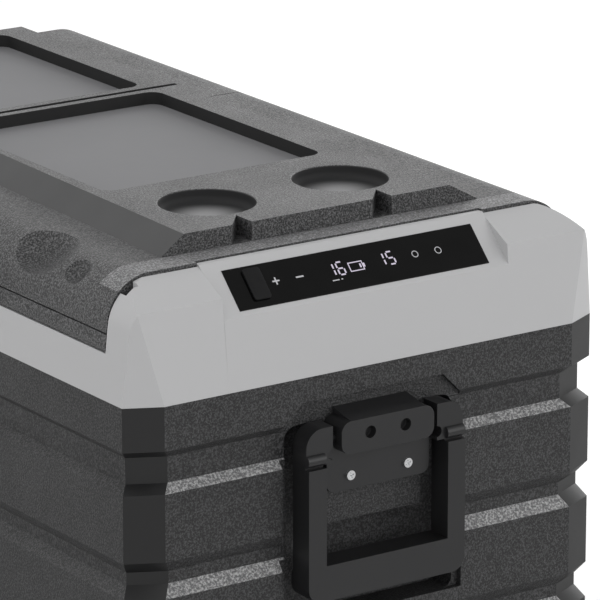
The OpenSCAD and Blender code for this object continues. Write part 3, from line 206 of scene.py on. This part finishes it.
def satin_moulding(name, tone, roughness=0.45, grain_mm=0.6, depth_mm=0.05, flow_mm=40, clouds=0.03):
    """A plain moulded plastic: one colour, a fine spark-eroded grain and faint flow clouds in its gloss."""
    material, tree = new_material(name)
    where = coordinates(tree)
    flow = add(tree, "TexNoise", {"Scale": 1 / (flow_mm * MM), "Detail": 3.0}, {"Vector": where})
    fine = add(tree, "TexNoise", {"Scale": 1 / (grain_mm * MM), "Detail": 2.0}, {"Vector": where})
    worn = add(tree, "MapRange", {1: 0.3, 2: 0.7, 3: roughness - clouds, 4: roughness + clouds},
               {0: flow.outputs[0]})
    relief = add(tree, "Bump", {"Strength": 0.3, "Distance": depth_mm * MM}, {"Height": fine.outputs[0]})
    skin = add(tree, "BsdfPrincipled", {"Base Color": colour(tone), "IOR": 1.5},
               {"Roughness": worn.outputs[0], "Normal": relief.outputs[0]})
    add(tree, "OutputMaterial", links={"Surface": skin.outputs[0]})
    return material


def softened(node, rounds, materials, pick=None, cut_y=None):
    """A copy of a CAD node with its sharp edges rounded, which replaces the node.
    Each round is (test, radius in mm, segments); the test gets an edge's middle and length in mm. An edge
    counts as sharp where its faces turn by more than 25 degrees. pick gives each face its material's
    number. cut_y, in mm, parts the flat faces there so that each side can have its own."""
    sharp_from = math.radians(25)
    source = frame["nodes"][node]
    mesh = bpy.data.meshes.new(node + "_skin")
    work = bmesh.new()
    work.from_mesh(source.data)
    bmesh.ops.remove_doubles(work, verts=work.verts, dist=0.004 * MM)
    bmesh.ops.dissolve_limit(work, angle_limit=math.radians(0.4), verts=work.verts, edges=work.edges)
    if cut_y is not None:
        bmesh.ops.bisect_plane(work, geom=work.verts[:] + work.edges[:] + work.faces[:],
                               plane_co=(0, cut_y * MM, 0), plane_no=(0, 1, 0))
    for test, radius, segments in rounds:
        sharp = [e for e in work.edges if len(e.link_faces) == 2
                 and e.calc_face_angle(0) > sharp_from
                 and test((e.verts[0].co + e.verts[1].co) / (2 * MM), e.calc_length() / MM)]
        bmesh.ops.bevel(work, geom=sharp, offset=radius * MM, offset_type="OFFSET", segments=segments,
                        profile=0.5, affect="EDGES", clamp_overlap=True)
    work.to_mesh(mesh)
    work.free()
    for material in materials:
        mesh.materials.append(material)
    if pick:
        count = len(mesh.polygons)
        normals = np.empty(count * 3)
        centres = np.empty(count * 3)
        mesh.polygons.foreach_get("normal", normals)
        mesh.polygons.foreach_get("center", centres)
        numbers = pick(normals.reshape(-1, 3), centres.reshape(-1, 3) / MM)
        mesh.polygons.foreach_set("material_index", numbers.astype(np.int32))
    mesh.polygons.foreach_set("use_smooth", np.ones(len(mesh.polygons), bool))
    mesh.set_sharp_from_angle(angle=math.radians(32))
    piece = bpy.data.objects.new(node + "_skin", mesh)
    scene.collection.objects.link(piece)
    keep_flats(piece)
    stand_for(piece, node)
    return piece


def keep_flats(piece):
    """Weights the smooth normals by face area, so that flat faces stay flat beside their rounded edges."""
    weigh = piece.modifiers.new("flats", "WEIGHTED_NORMAL")
    weigh.keep_sharp = True
    weigh.weight = 100
    ready = piece.evaluated_get(bpy.context.evaluated_depsgraph_get())
    piece.data = bpy.data.meshes.new_from_object(ready)
    piece.modifiers.clear()


def stand_for(piece, node):
    """The piece rides where the CAD node does and hides it."""
    body = next(b for b, members in frame["record"]["behaviour"]["bodies"].items() if node in members)
    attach(piece, body)
    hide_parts(node)


def finish(material, *nodes):
    """Gives CAD nodes their material."""
    for node in nodes:
        mesh = frame["nodes"][node].data
        mesh.materials.clear()
        mesh.materials.append(material)


def everywhere(middle, length):
    """Every sharp edge."""
    return True


def body_faces(normals, centres):
    """0 on the grained walls, 1 on the smooth corner facets, 2 on the ribs' upward slopes at the ends,
    which get a painted highlight.
    """
    facet = (abs(normals[:, 0]) > 0.25) & (abs(normals[:, 1]) > 0.25)
    slope = (normals[:, 2] > 0.4) & (abs(normals[:, 1]) > 0.4) & (centres[:, 2] > 60) & ~facet
    return np.where(slope, 2, facet)


grained = grained_polypropylene("dark_grained_polypropylene", "#0f0f10", "#464647", 1.4)
smooth = satin_moulding("dark_smooth_polypropylene", "#101011", 0.46)
# Painted highlight: the ribs' upward slopes at the front and back are coloured pale, standing in for the
# overhead light they catch.
painted_highlight_slopes = grained_polypropylene("grained_polypropylene_painted_highlight", "#636364", "#b4b4b4", 1.6, 0.4, 0.7)
softened("body_shell", [(everywhere, 0.9, 2)], [grained, smooth, painted_highlight_slopes], body_faces)

# Four rubber feet, each held by a screw from below.


def moulded_rubber(name, tone, roughness=0.72, shine=0.5):
    """Moulded rubber: matt, with a bloom that makes soft patches, and a fine pitted grain."""
    material, tree = new_material(name)
    where = coordinates(tree)
    bloom = add(tree, "TexNoise", {"Scale": 1 / (12 * MM), "Detail": 3.0}, {"Vector": where})
    pits = add(tree, "TexVoronoi", {"Scale": 1 / (0.9 * MM)}, {"Vector": where})
    matt = add(tree, "MapRange", {1: 0.3, 2: 0.7, 3: roughness - 0.08, 4: roughness + 0.08},
               {0: bloom.outputs[0]})
    relief = add(tree, "Bump", {"Strength": 0.35, "Distance": 0.06 * MM},
                 {"Height": pits.outputs["Distance"]})
    skin = add(tree, "BsdfPrincipled",
               {"Base Color": colour(tone), "IOR": 1.52, "Specular IOR Level": shine},
               {"Roughness": matt.outputs[0], "Normal": relief.outputs[0]})
    add(tree, "OutputMaterial", links={"Surface": skin.outputs[0]})
    return material


def worked_metal(name, tone, roughness, grain_mm, stretch):
    """Bare metal with lay lines from drawing or rolling: the grain is grain_mm across and drawn out
    along the axis whose share of stretch is small."""
    material, tree = new_material(name)
    along = add(tree, "Mapping", {"Scale": stretch}, {"Vector": coordinates(tree)})
    lay = add(tree, "TexNoise", {"Scale": 1 / (grain_mm * MM), "Detail": 4.0}, {"Vector": along.outputs[0]})
    dull = add(tree, "MapRange", {1: 0.3, 2: 0.7, 3: roughness - 0.07, 4: roughness + 0.1},
               {0: lay.outputs[0]})
    relief = add(tree, "Bump", {"Strength": 0.25, "Distance": 0.02 * MM}, {"Height": lay.outputs[0]})
    skin = add(tree, "BsdfPrincipled", {"Base Color": colour(tone), "Metallic": 1.0},
               {"Roughness": dull.outputs[0], "Normal": relief.outputs[0]})
    add(tree, "OutputMaterial", links={"Surface": skin.outputs[0]})
    return material


black_rubber = moulded_rubber("moulded_black_rubber", "#191919")
plated_steel = worked_metal("zinc_plated_steel", "#d3d4d6", 0.3, 0.5, (1, 1, 1))
finish(black_rubber, "rubber_feet", "compressor_grommets", "wiring_loom")
finish(plated_steel, "foot_screws", "compressor_bolts", "dc_inlet_pins")

# ---------------------------------------------------------------------------- machine room
# The cooling unit in the bottom of the console end, on its steel plate: an enamelled
# compressor, a finned aluminium condenser with its fan, copper pipes and the power module.


def galvanised_sheet():
    """Hot-dip galvanised steel: grey spangles of about 9 mm, each a little brighter or duller."""
    material, tree = new_material("galvanised_steel_sheet")
    where = coordinates(tree)
    spangle = add(tree, "TexVoronoi", {"Scale": 1 / (9 * MM)}, {"Vector": where})
    grey = add(tree, "MapRange", {3: 0.0, 4: 1.0}, {0: spangle.outputs["Color"]})
    tint = add(tree, "Mix", {"data_type": "RGBA", 6: colour("#a4a7a9"), 7: colour("#c4c7c9")},
               {0: grey.outputs[0]})
    dull = add(tree, "MapRange", {3: 0.34, 4: 0.5}, {0: grey.outputs[0]})
    skin = add(tree, "BsdfPrincipled", {"Metallic": 1.0},
               {"Base Color": tint.outputs[2], "Roughness": dull.outputs[0]})
    add(tree, "OutputMaterial", links={"Surface": skin.outputs[0]})
    return material


def black_enamel():
    """Sprayed black enamel on the compressor's can: glossy, with an orange peel of about 2 mm."""
    material, tree = new_material("sprayed_black_enamel")
    where = coordinates(tree)
    peel = add(tree, "TexNoise", {"Scale": 1 / (2 * MM), "Detail": 1.0}, {"Vector": where})
    dust = add(tree, "TexNoise", {"Scale": 1 / (25 * MM), "Detail": 3.0}, {"Vector": where})
    dull = add(tree, "MapRange", {1: 0.35, 2: 0.7, 3: 0.16, 4: 0.34}, {0: dust.outputs[0]})
    relief = add(tree, "Bump", {"Strength": 0.3, "Distance": 0.08 * MM}, {"Height": peel.outputs[0]})
    skin = add(tree, "BsdfPrincipled", {"Base Color": colour("#141516"), "IOR": 1.53},
               {"Roughness": dull.outputs[0], "Normal": relief.outputs[0]})
    add(tree, "OutputMaterial", links={"Surface": skin.outputs[0]})
    return material


black_abs = satin_moulding("satin_black_abs", "#131314", 0.42)
finish(galvanised_sheet(), "compressor_plate", "machine_bulkhead")
finish(black_enamel(), "compressor")
finish(worked_metal("rolled_aluminium", "#d9dadc", 0.32, 0.6, (1, 1, 0.1)),
       "condenser", "evaporator_front", "evaporator_rear")
finish(worked_metal("drawn_copper", "#c47a55", 0.28, 0.5, (1, 1, 0.15)),
       "filter_drier", "refrigerant_pipes")
finish(satin_moulding("fibre_filled_black_nylon", "#17181a", 0.5, 0.8),
       "fan_frame", "fan_rotor", "power_module")
for side in ("left", "right"):
    softened(f"vent_grille_{side}", [(everywhere, 0.5, 2)], [black_abs])
softened("dc_inlet", [(everywhere, 0.5, 2)], [black_abs])

# ---------------------------------------------------------------------------- tubs
# Two vacuum-formed tubs in rigid foam, each with a lift-out basket, and a lamp in the front one.


def rigid_foam():
    """Foamed-in polyurethane: cream, matt, with broken cells of about 1.5 mm and darker skin patches."""
    material, tree = new_material("rigid_polyurethane_foam")
    where = coordinates(tree)
    cells = add(tree, "TexVoronoi", {"Scale": 1 / (1.5 * MM)}, {"Vector": where})
    patch = add(tree, "TexNoise", {"Scale": 1 / (30 * MM), "Detail": 4.0}, {"Vector": where})
    tint = add(tree, "Mix", {"data_type": "RGBA", 6: colour("#c9ba86"), 7: colour("#e2d7ae")},
               {0: patch.outputs[0]})
    relief = add(tree, "Bump", {"Strength": 0.8, "Distance": 0.4 * MM},
                 {"Height": cells.outputs["Distance"]})
    skin = add(tree, "BsdfPrincipled", {"Roughness": 0.9, "IOR": 1.5},
               {"Base Color": tint.outputs[2], "Normal": relief.outputs[0]})
    add(tree, "OutputMaterial", links={"Surface": skin.outputs[0]})
    return material


def lamp_cover():
    """Frosted polycarbonate: milky, with a fine prism grain of 1 mm."""
    material, tree = new_material("frosted_polycarbonate")
    prisms = add(tree, "TexVoronoi", {"Scale": 1 / (1.0 * MM)}, {"Vector": coordinates(tree)})
    relief = add(tree, "Bump", {"Strength": 0.5, "Distance": 0.15 * MM},
                 {"Height": prisms.outputs["Distance"]})
    skin = add(tree, "BsdfPrincipled", {"Base Color": colour("#eef1f3"), "Roughness": 0.35, "IOR": 1.58,
                                        "Transmission Weight": 0.5}, {"Normal": relief.outputs[0]})
    add(tree, "OutputMaterial", links={"Surface": skin.outputs[0]})
    return material


foam = rigid_foam()
liner_plastic = satin_moulding("formed_grey_polystyrene", "#a9acae", 0.3, 3.0, 0.08)
basket_plastic = satin_moulding("grey_basket_polypropylene", "#6f7377", 0.4)
finish(foam, "insulation_foam", "lid_front_foam", "lid_rear_foam")
finish(lamp_cover(), "lamp_lens")
for which in ("front", "rear"):
    softened(f"liner_{which}", [(everywhere, 0.8, 2)], [liner_plastic])
    softened(f"basket_{which}", [(everywhere, 0.5, 1)], [basket_plastic])

# ---------------------------------------------------------------------------- collar
# The pale frame round the lids, moulded in grey ABS with a satin mould finish.


def outer_crease(middle, length):
    """The long creases of the collar's two ends, which are well rounded."""
    return length > 38 and abs(middle.y) > 324 and abs(middle.x) > 1 and middle.z > 356


pale_abs = satin_moulding("pale_grey_abs", "#b7b7b8", 0.44, 0.5, 0.05, 90)
softened("collar", [(outer_crease, 4.0, 5), (everywhere, 0.7, 2)], [pale_abs])
finish(plated_steel, "hinge_pins", "latch_keepers", "usb_socket",
       "lid_front_latch_pin", "lid_rear_latch_pin")

# ---------------------------------------------------------------------------- console
# A black hard-coated acrylic window over the display, with white marks that light up through
# it, and a rubber cover over the charging sockets. The board and the display sit behind it.


def hard_coated_acrylic():
    """Black acrylic with an anti-glare hard coat: nearly no colour of its own, a soft low sheen."""
    material, tree = new_material("black_hard_coated_acrylic")
    smear = add(tree, "TexNoise", {"Scale": 1 / (18 * MM), "Detail": 3.0}, {"Vector": coordinates(tree)})
    dull = add(tree, "MapRange", {1: 0.35, 2: 0.7, 3: 0.12, 4: 0.18}, {0: smear.outputs[0]})
    skin = add(tree, "BsdfPrincipled", {"Base Color": colour("#0b0b0b"), "IOR": 1.49,
                                        "Specular IOR Level": 0.25}, {"Roughness": dull.outputs[0]})
    add(tree, "OutputMaterial", links={"Surface": skin.outputs[0]})
    return material


def solder_mask():
    """Green circuit board: glossy mask over copper tracks, drawn as fine paler bands 2 mm apart."""
    material, tree = new_material("green_solder_mask")
    tracks = add(tree, "TexWave", {"Scale": 1 / (6 * MM), "Distortion": 3.0}, {"Vector": coordinates(tree)})
    tint = add(tree, "Mix", {"data_type": "RGBA", 6: colour("#14452a"), 7: colour("#2a6b43")},
               {0: tracks.outputs[0]})
    skin = add(tree, "BsdfPrincipled", {"Roughness": 0.3, "IOR": 1.5}, {"Base Color": tint.outputs[2]})
    add(tree, "OutputMaterial", links={"Surface": skin.outputs[0]})
    return material


def lit_ink(name, tone, strength):
    """Translucent ink lit from behind: even and a little brighter than white paper in shade."""
    material, tree = new_material(name)
    grain = add(tree, "TexNoise", {"Scale": 1 / (0.5 * MM)}, {"Vector": coordinates(tree)})
    dull = add(tree, "MapRange", {3: 0.35, 4: 0.5}, {0: grain.outputs[0]})
    skin = add(tree, "BsdfPrincipled", {"Base Color": colour("#3a3a3a"), "Emission Color": colour(tone),
                                        "Emission Strength": strength}, {"Roughness": dull.outputs[0]})
    add(tree, "OutputMaterial", links={"Surface": skin.outputs[0]})
    return material


glass_t = 2.4 * MM
low, high = (np.array(corner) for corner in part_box("panel_glass"))
lean = math.sqrt(0.5)
panel_half = ((high[1] - low[1]) / lean - glass_t) / 2
panel_middle = np.array([(low[0] + high[0]) / 2, low[1] + panel_half * lean, high[2] - panel_half * lean])
panel_axes = np.array([[1, 0, 0], [0, lean, lean], [0, -lean, lean]])
ink_lift = 0.06


def bar(path, width, closed):
    """A bar of rectangular section carried along a flat path: every point moves half the width to
    each side, square to the mean of the path's directions before and after it and longer at a turn
    (a mitre), at the heights 0 and ink_lift. Returns its rings and its faces."""
    path = np.array(path, float)
    ahead = np.roll(path, -1, 0) - path
    behind = path - np.roll(path, 1, 0)
    if not closed:
        ahead[-1] = behind[-1]
        behind[0] = ahead[0]
    ahead /= np.linalg.norm(ahead, axis=1, keepdims=True)
    behind /= np.linalg.norm(behind, axis=1, keepdims=True)
    run = ahead + behind
    run /= np.linalg.norm(run, axis=1, keepdims=True)
    mitre = width / 2 / np.sum(run * ahead, axis=1, keepdims=True)
    side = np.stack([-run[:, 1], run[:, 0]], 1) * mitre
    flat = np.zeros((len(path), 1))
    rings = np.stack([np.hstack([path + side, flat]), np.hstack([path + side, flat + ink_lift]),
                      np.hstack([path - side, flat + ink_lift]), np.hstack([path - side, flat])], 1)
    count = len(path)
    here = np.arange(count if closed else count - 1)
    after = (here + 1) % count
    faces = [np.stack([here * 4 + k, here * 4 + (k + 1) % 4, after * 4 + (k + 1) % 4, after * 4 + k], 1)
             for k in range(4)]
    if not closed:
        faces.append(np.array([[3, 2, 1, 0], [(count - 1) * 4 + k for k in range(4)]]))
    return rings.reshape(-1, 3), np.vstack(faces)


def outward(mesh):
    """Turns a closed mesh's faces to point outwards."""
    work = bmesh.new()
    work.from_mesh(mesh)
    bmesh.ops.recalc_face_normals(work, faces=work.faces)
    work.to_mesh(mesh)
    work.free()


def mark(name, bars, ink):
    """A sign printed on the window: bars in millimetres from the window's middle, x along it and y up
    the slope, laid on its face."""
    corners = []
    faces = []
    for path, width, closed in bars:
        points, quads = bar(path, width, closed)
        faces.append(quads + sum(len(c) for c in corners))
        corners.append(points)
    points = np.vstack(corners)
    mesh = bpy.data.meshes.new(name)
    mesh.from_pydata((panel_middle + points * MM @ panel_axes).tolist(), [], np.vstack(faces).tolist())
    outward(mesh)
    mesh.materials.append(ink)
    piece = bpy.data.objects.new(name, mesh)
    scene.collection.objects.link(piece)
    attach(piece, "cabinet")


def ring_path(x, y, radius, count=32):
    """Points on a circle."""
    turn = np.linspace(0, 2 * np.pi, count, endpoint=False)
    return np.stack([x + radius * np.cos(turn), y + radius * np.sin(turn)], 1)


def digit(figure, x, y, wide, tall, width):
    """A seven-segment figure: the bars a to g go round from the top, g is the middle one."""
    gap = width * 0.62
    left, right, low, high = x, x + wide, y - tall / 2, y + tall / 2
    ends = {"a": ((left + gap, high), (right - gap, high)), "b": ((right, high - gap), (right, y + gap)),
            "c": ((right, y - gap), (right, low + gap)), "d": ((left + gap, low), (right - gap, low)),
            "e": ((left, low + gap), (left, y - gap)), "f": ((left, y + gap), (left, high - gap)),
            "g": ((left + gap, y), (right - gap, y))}
    lit = {"1": "bc", "5": "acdfg", "6": "acdefg"}[figure]
    return [(ends[letter], width, False) for letter in lit]


white_ink = lit_ink("backlit_white_ink", "#c4c4c8", 0.75)
digit_light = lit_ink("white_display_segments", "#d8cfe2", 0.85)
softened("panel_glass", [(everywhere, 0.25, 2)], [hard_coated_acrylic()])
finish(solder_mask(), "control_board")
finish(black_abs, "display_module")
softened("usb_flap", [(everywhere, 0.45, 3)], [moulded_rubber("charcoal_flap_rubber", "#111112", 0.7, 0.2)])

plus = (-68.1, 1.0)
mark("plus_sign", [(((plus[0] - 2.9, plus[1]), (plus[0] + 2.9, plus[1])), 1.15, False),
                   (((plus[0], plus[1] - 2.9), (plus[0], plus[1] + 2.9)), 1.15, False)], white_ink)
minus = (-48.3, 0.8)
mark("minus_sign", [(((minus[0] - 3.2, minus[1]), (minus[0] + 3.2, minus[1])), 1.2, False)], white_ink)
mark("left_temperature", digit("1", -19.3, 1.2, 0, 10, 1.15) + digit("6", -16.2, 1.2, 5.2, 10, 1.15),
     digit_light)
mark("right_temperature", digit("1", 23.6, 1.9, 0, 10, 1.15) + digit("5", 26.8, 1.9, 5.2, 10, 1.15),
     digit_light)
mark("battery_sign", [(((-6.4, -2.8), (4.9, -2.8), (4.9, 3.9), (-6.4, 3.9)), 0.75, True),
                      (((6.0, -1.0), (6.0, 2.1)), 1.2, False),
                      (((2.9, -1.0), (2.9, 2.1)), 1.3, False)], digit_light)
mark("zone_bar", [(((-24.3, -7.2), (-18.6, -7.2)), 0.8, False),
                  (((-16.9, -7.1), (-15.6, -7.1)), 0.9, False)], white_ink)
mark("mode_ring", [(ring_path(50.0, 1.2, 2.4), 0.6, True)], white_ink)
mark("power_ring", [(ring_path(69.8, 0.8, 2.5), 0.6, True)], white_ink)

# ---------------------------------------------------------------------------- lids
# Two lids of the body's plastic: an outer shell with cup and tray recesses, an inner moulding
# and foam between them. The recesses and the left slope of the raised middle are smooth.

top_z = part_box("lid_front_shell")[1].z / MM
lid_y0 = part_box("lid_front_shell")[0].y / MM
step_y = lid_y0 + 24
recess_z = top_z - 9.6
cup_r = 35.0
raised_h = 14
slope_x = -139
tray_x = (-103, 87)
trays_y = (-182, 291)
shoulder_x = -158
thumb_y = (-263.6, -212.95, -43.75, 106.15, 275.35)
cup_centres = [(s * 57.2, lid_y0 + 84.6) for s in (-1, 1)]


def on_cup(middle):
    """True near the wall of a cup recess."""
    return any(abs(math.hypot(middle.x - x, middle.y - y) - cup_r) < 0.8 for x, y in cup_centres)


def cup_rim(middle, length):
    """The upper edge of a cup recess."""
    return middle.z > top_z - 0.3 and on_cup(middle)


def cup_foot(middle, length):
    """The edge between a cup recess's wall and its floor."""
    return abs(middle.z - recess_z) < 0.3 and on_cup(middle)


def thumb_rim(middle, length):
    """The rims of the scoops and the small pocket on the left shoulder."""
    near = min(abs(middle.y - y) for y in thumb_y)
    return middle.x < shoulder_x and middle.z > 408 and near < 34


def lid_faces(normals, centres):
    """0 on grained walls, 1 on the raised middle's smooth left slope, 2 on the trays' floors, coloured
    paler as painted light, 3 on their walls, 4 on the step along the console, coloured paler as painted
    light, and 5 in the cup recesses, with painted shade."""
    x = centres[:, 0]
    y = centres[:, 1]
    z = centres[:, 2]
    level = (z > recess_z - 0.3) & (z < top_z - 0.02)
    left_slope = ((normals[:, 0] < -0.4) & (normals[:, 2] > 0.6)
                  & (x > slope_x) & (z > top_z - raised_h - 0.5))
    inside = (x > tray_x[0]) & (x < tray_x[1]) & (y > trays_y[0]) & (y < trays_y[1])
    cup = np.zeros(len(x), bool)
    for middle_x, middle_y in cup_centres:
        cup |= np.hypot(x - middle_x, y - middle_y) < cup_r + 0.3
    inside |= cup
    recess = inside & level & (z < top_z - 2.5) | inside & level & (abs(normals[:, 2]) < 0.6)
    step = (normals[:, 2] > 0.7) & (y < step_y) & (z < top_z - 5)
    sunk = np.where(cup, 5, np.where(normals[:, 2] > 0.5, 2, 3))
    return np.where(recess, sunk, np.where(step, 4, left_slope))


def cup_moulding():
    """Smooth plastic of the cup recesses, with painted shade: its tone goes from pale in the middle to dark
    at the wall, by distance from the recess's axis, so that each one reads as a soft hollow."""
    material, tree = new_material("cup_recess_painted_shade")
    pale_r = 2 * MM
    dark_r = 33 * MM
    axis_x, axis_y = cup_centres[1]
    mirrored = add(tree, "VectorMath", {"operation": "ABSOLUTE"}, {0: coordinates(tree)})
    off = add(tree, "VectorMath", {"operation": "SUBTRACT", 1: (axis_x * MM, -axis_y * MM, 0)},
              {0: mirrored.outputs[0]})
    flat = add(tree, "VectorMath", {"operation": "MULTIPLY", 1: (1, 1, 0)}, {0: off.outputs[0]})
    reach = add(tree, "VectorMath", {"operation": "LENGTH"}, {0: flat.outputs[0]})
    painted_shade_ramp = add(tree, "MapRange",
                 {"interpolation_type": "SMOOTHSTEP", 1: dark_r, 2: pale_r, 3: 0.0, 4: 1.0},
                 {0: reach.outputs["Value"]})
    tint = add(tree, "Mix", {"data_type": "RGBA", 6: colour("#1a1a1b"), 7: colour("#8c8c8d")},
               {0: painted_shade_ramp.outputs[0]})
    skin = add(tree, "BsdfPrincipled", {"Roughness": 0.7, "IOR": 1.5}, {"Base Color": tint.outputs[2]})
    add(tree, "OutputMaterial", links={"Surface": skin.outputs[0]})
    return material


def rim_faces(normals, centres):
    """0 on the outside of the lower rim, 1 on the smooth inner moulding."""
    return abs(centres[:, 0]) < 187.5


lid_rounds = [(cup_rim, 2.4, 5), (cup_foot, 5.5, 6), (thumb_rim, 1.4, 3), (everywhere, 0.8, 2)]
lid_grain = grained_polypropylene("lid_grained_polypropylene", "#171718", "#6c6c6d", 1.3, 0.7, 0.44)
# Painted light: the trays' upward-facing floors are coloured far paler than their walls of the same
# moulding, standing in for the light from above.
painted_light_floor = satin_moulding("smooth_recess_floor_painted_light", "#78787a", 0.7, 0.6, 0.02, 60, 0.02)
# Painted light: the step along the console is coloured paler than the rest of the lid, so that it reads
# lit.
painted_light_step = grained_polypropylene("lid_step_painted_light", "#5c5c5d", "#a2a2a3", 1.3, 0.3, 0.6)
recess_wall = satin_moulding("smooth_recess_wall", "#0f0f10", 0.75)
lid_slope = satin_moulding("smooth_lid_slope", "#2e2e2f", 0.4)
inner = satin_moulding("dark_inner_polypropylene", "#3a3b3c", 0.42)
lid_skins = [lid_grain, lid_slope, painted_light_floor, recess_wall, painted_light_step, cup_moulding()]
for which in ("front", "rear"):
    cut_y = step_y if which == "front" else None
    softened(f"lid_{which}_shell", lid_rounds, lid_skins, lid_faces, cut_y=cut_y)
    softened(f"lid_{which}_liner", [(everywhere, 0.6, 2)], [lid_grain, inner], rim_faces)
    softened(f"lid_{which}_latch", [(everywhere, 0.5, 2)], [black_abs])

# Extruded bellows seals under the lids, pressed into the inner moulding.


def bellows(node, roundness):
    """A closed profile carried round the tub's rim. The profile is a flat oval, x = a cos t and
    z = b sin t, whose lower half has three soft folds: b shrinks by a fifth where cos 3x' is high.
    The path is a rectangle with corners of radius roundness, walked by angle."""
    low, high = (np.array(corner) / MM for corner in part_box(node))
    wide = 6.0
    middle = (low + high) / 2
    half = (high - low)[:2] / 2 - wide / 2
    r = roundness - wide / 2
    steps = 12
    turn = np.linspace(0, np.pi / 2, steps + 1)
    quarters = []
    for k, (sx, sy) in enumerate(((1, 1), (-1, 1), (-1, -1), (1, -1))):
        a = turn + k * np.pi / 2
        quarters.append(np.stack([sx * (half[0] - r) + r * np.cos(a), sy * (half[1] - r) + r * np.sin(a),
                                  np.cos(a), np.sin(a)], 1))
    path = np.vstack(quarters)
    t = np.linspace(0, 2 * np.pi, 28, endpoint=False)
    across = wide / 2 * np.sign(np.cos(t)) * abs(np.cos(t)) ** 0.6
    fold = np.where(np.sin(t) < 0, 1 - 0.2 * (1 + np.cos(3 * np.pi * across / (wide / 2))) / 2, 1)
    up = (high[2] - low[2]) / 2 * np.sin(t) * fold
    x = middle[0] + path[:, None, 0] + path[:, None, 2] * across
    y = middle[1] + path[:, None, 1] + path[:, None, 3] * across
    z = np.broadcast_to(middle[2] + up, x.shape)
    points = np.stack([x, y, z], 2).reshape(-1, 3) * MM
    rows, columns = x.shape
    i, j = np.meshgrid(np.arange(rows), np.arange(columns), indexing="ij")
    i2, j2 = (i + 1) % rows, (j + 1) % columns
    quads = np.stack([i * columns + j, i2 * columns + j, i2 * columns + j2, i * columns + j2], 2)
    mesh = bpy.data.meshes.new(node + "_bellows")
    mesh.from_pydata(points.tolist(), [], quads.reshape(-1, 4).tolist())
    outward(mesh)
    mesh.polygons.foreach_set("use_smooth", np.ones(len(mesh.polygons), bool))
    mesh.materials.append(seal_vinyl)
    piece = bpy.data.objects.new(node + "_bellows", mesh)
    scene.collection.objects.link(piece)
    stand_for(piece, node)


seal_vinyl = moulded_rubber("extruded_grey_vinyl", "#5b5d5f", 0.55)
for which in ("front", "rear"):
    bellows(f"lid_{which}_gasket", 24.5)

# ---------------------------------------------------------------------------- handles
# Folding handles in glass-filled nylon on a blackened pin, with a screwed bracket of the
# same plastic between their arms.

handle_nylon = satin_moulding("glass_filled_black_nylon", "#202021", 0.34, 0.9, 0.06)
black_pin = worked_metal("blackened_steel", "#3a3a3b", 0.4, 0.5, (0.1, 1, 1))
for end in ("front", "rear"):
    softened(f"handle_bail_{end}", [(everywhere, 1.6, 3)], [handle_nylon])
    softened(f"handle_bracket_{end}", [(everywhere, 0.8, 3)], [handle_nylon])
finish(black_pin, "handle_pins")
finish(worked_metal("bright_screw_steel", "#e0e1e2", 0.22, 0.4, (1, 1, 1)), "bracket_screws")
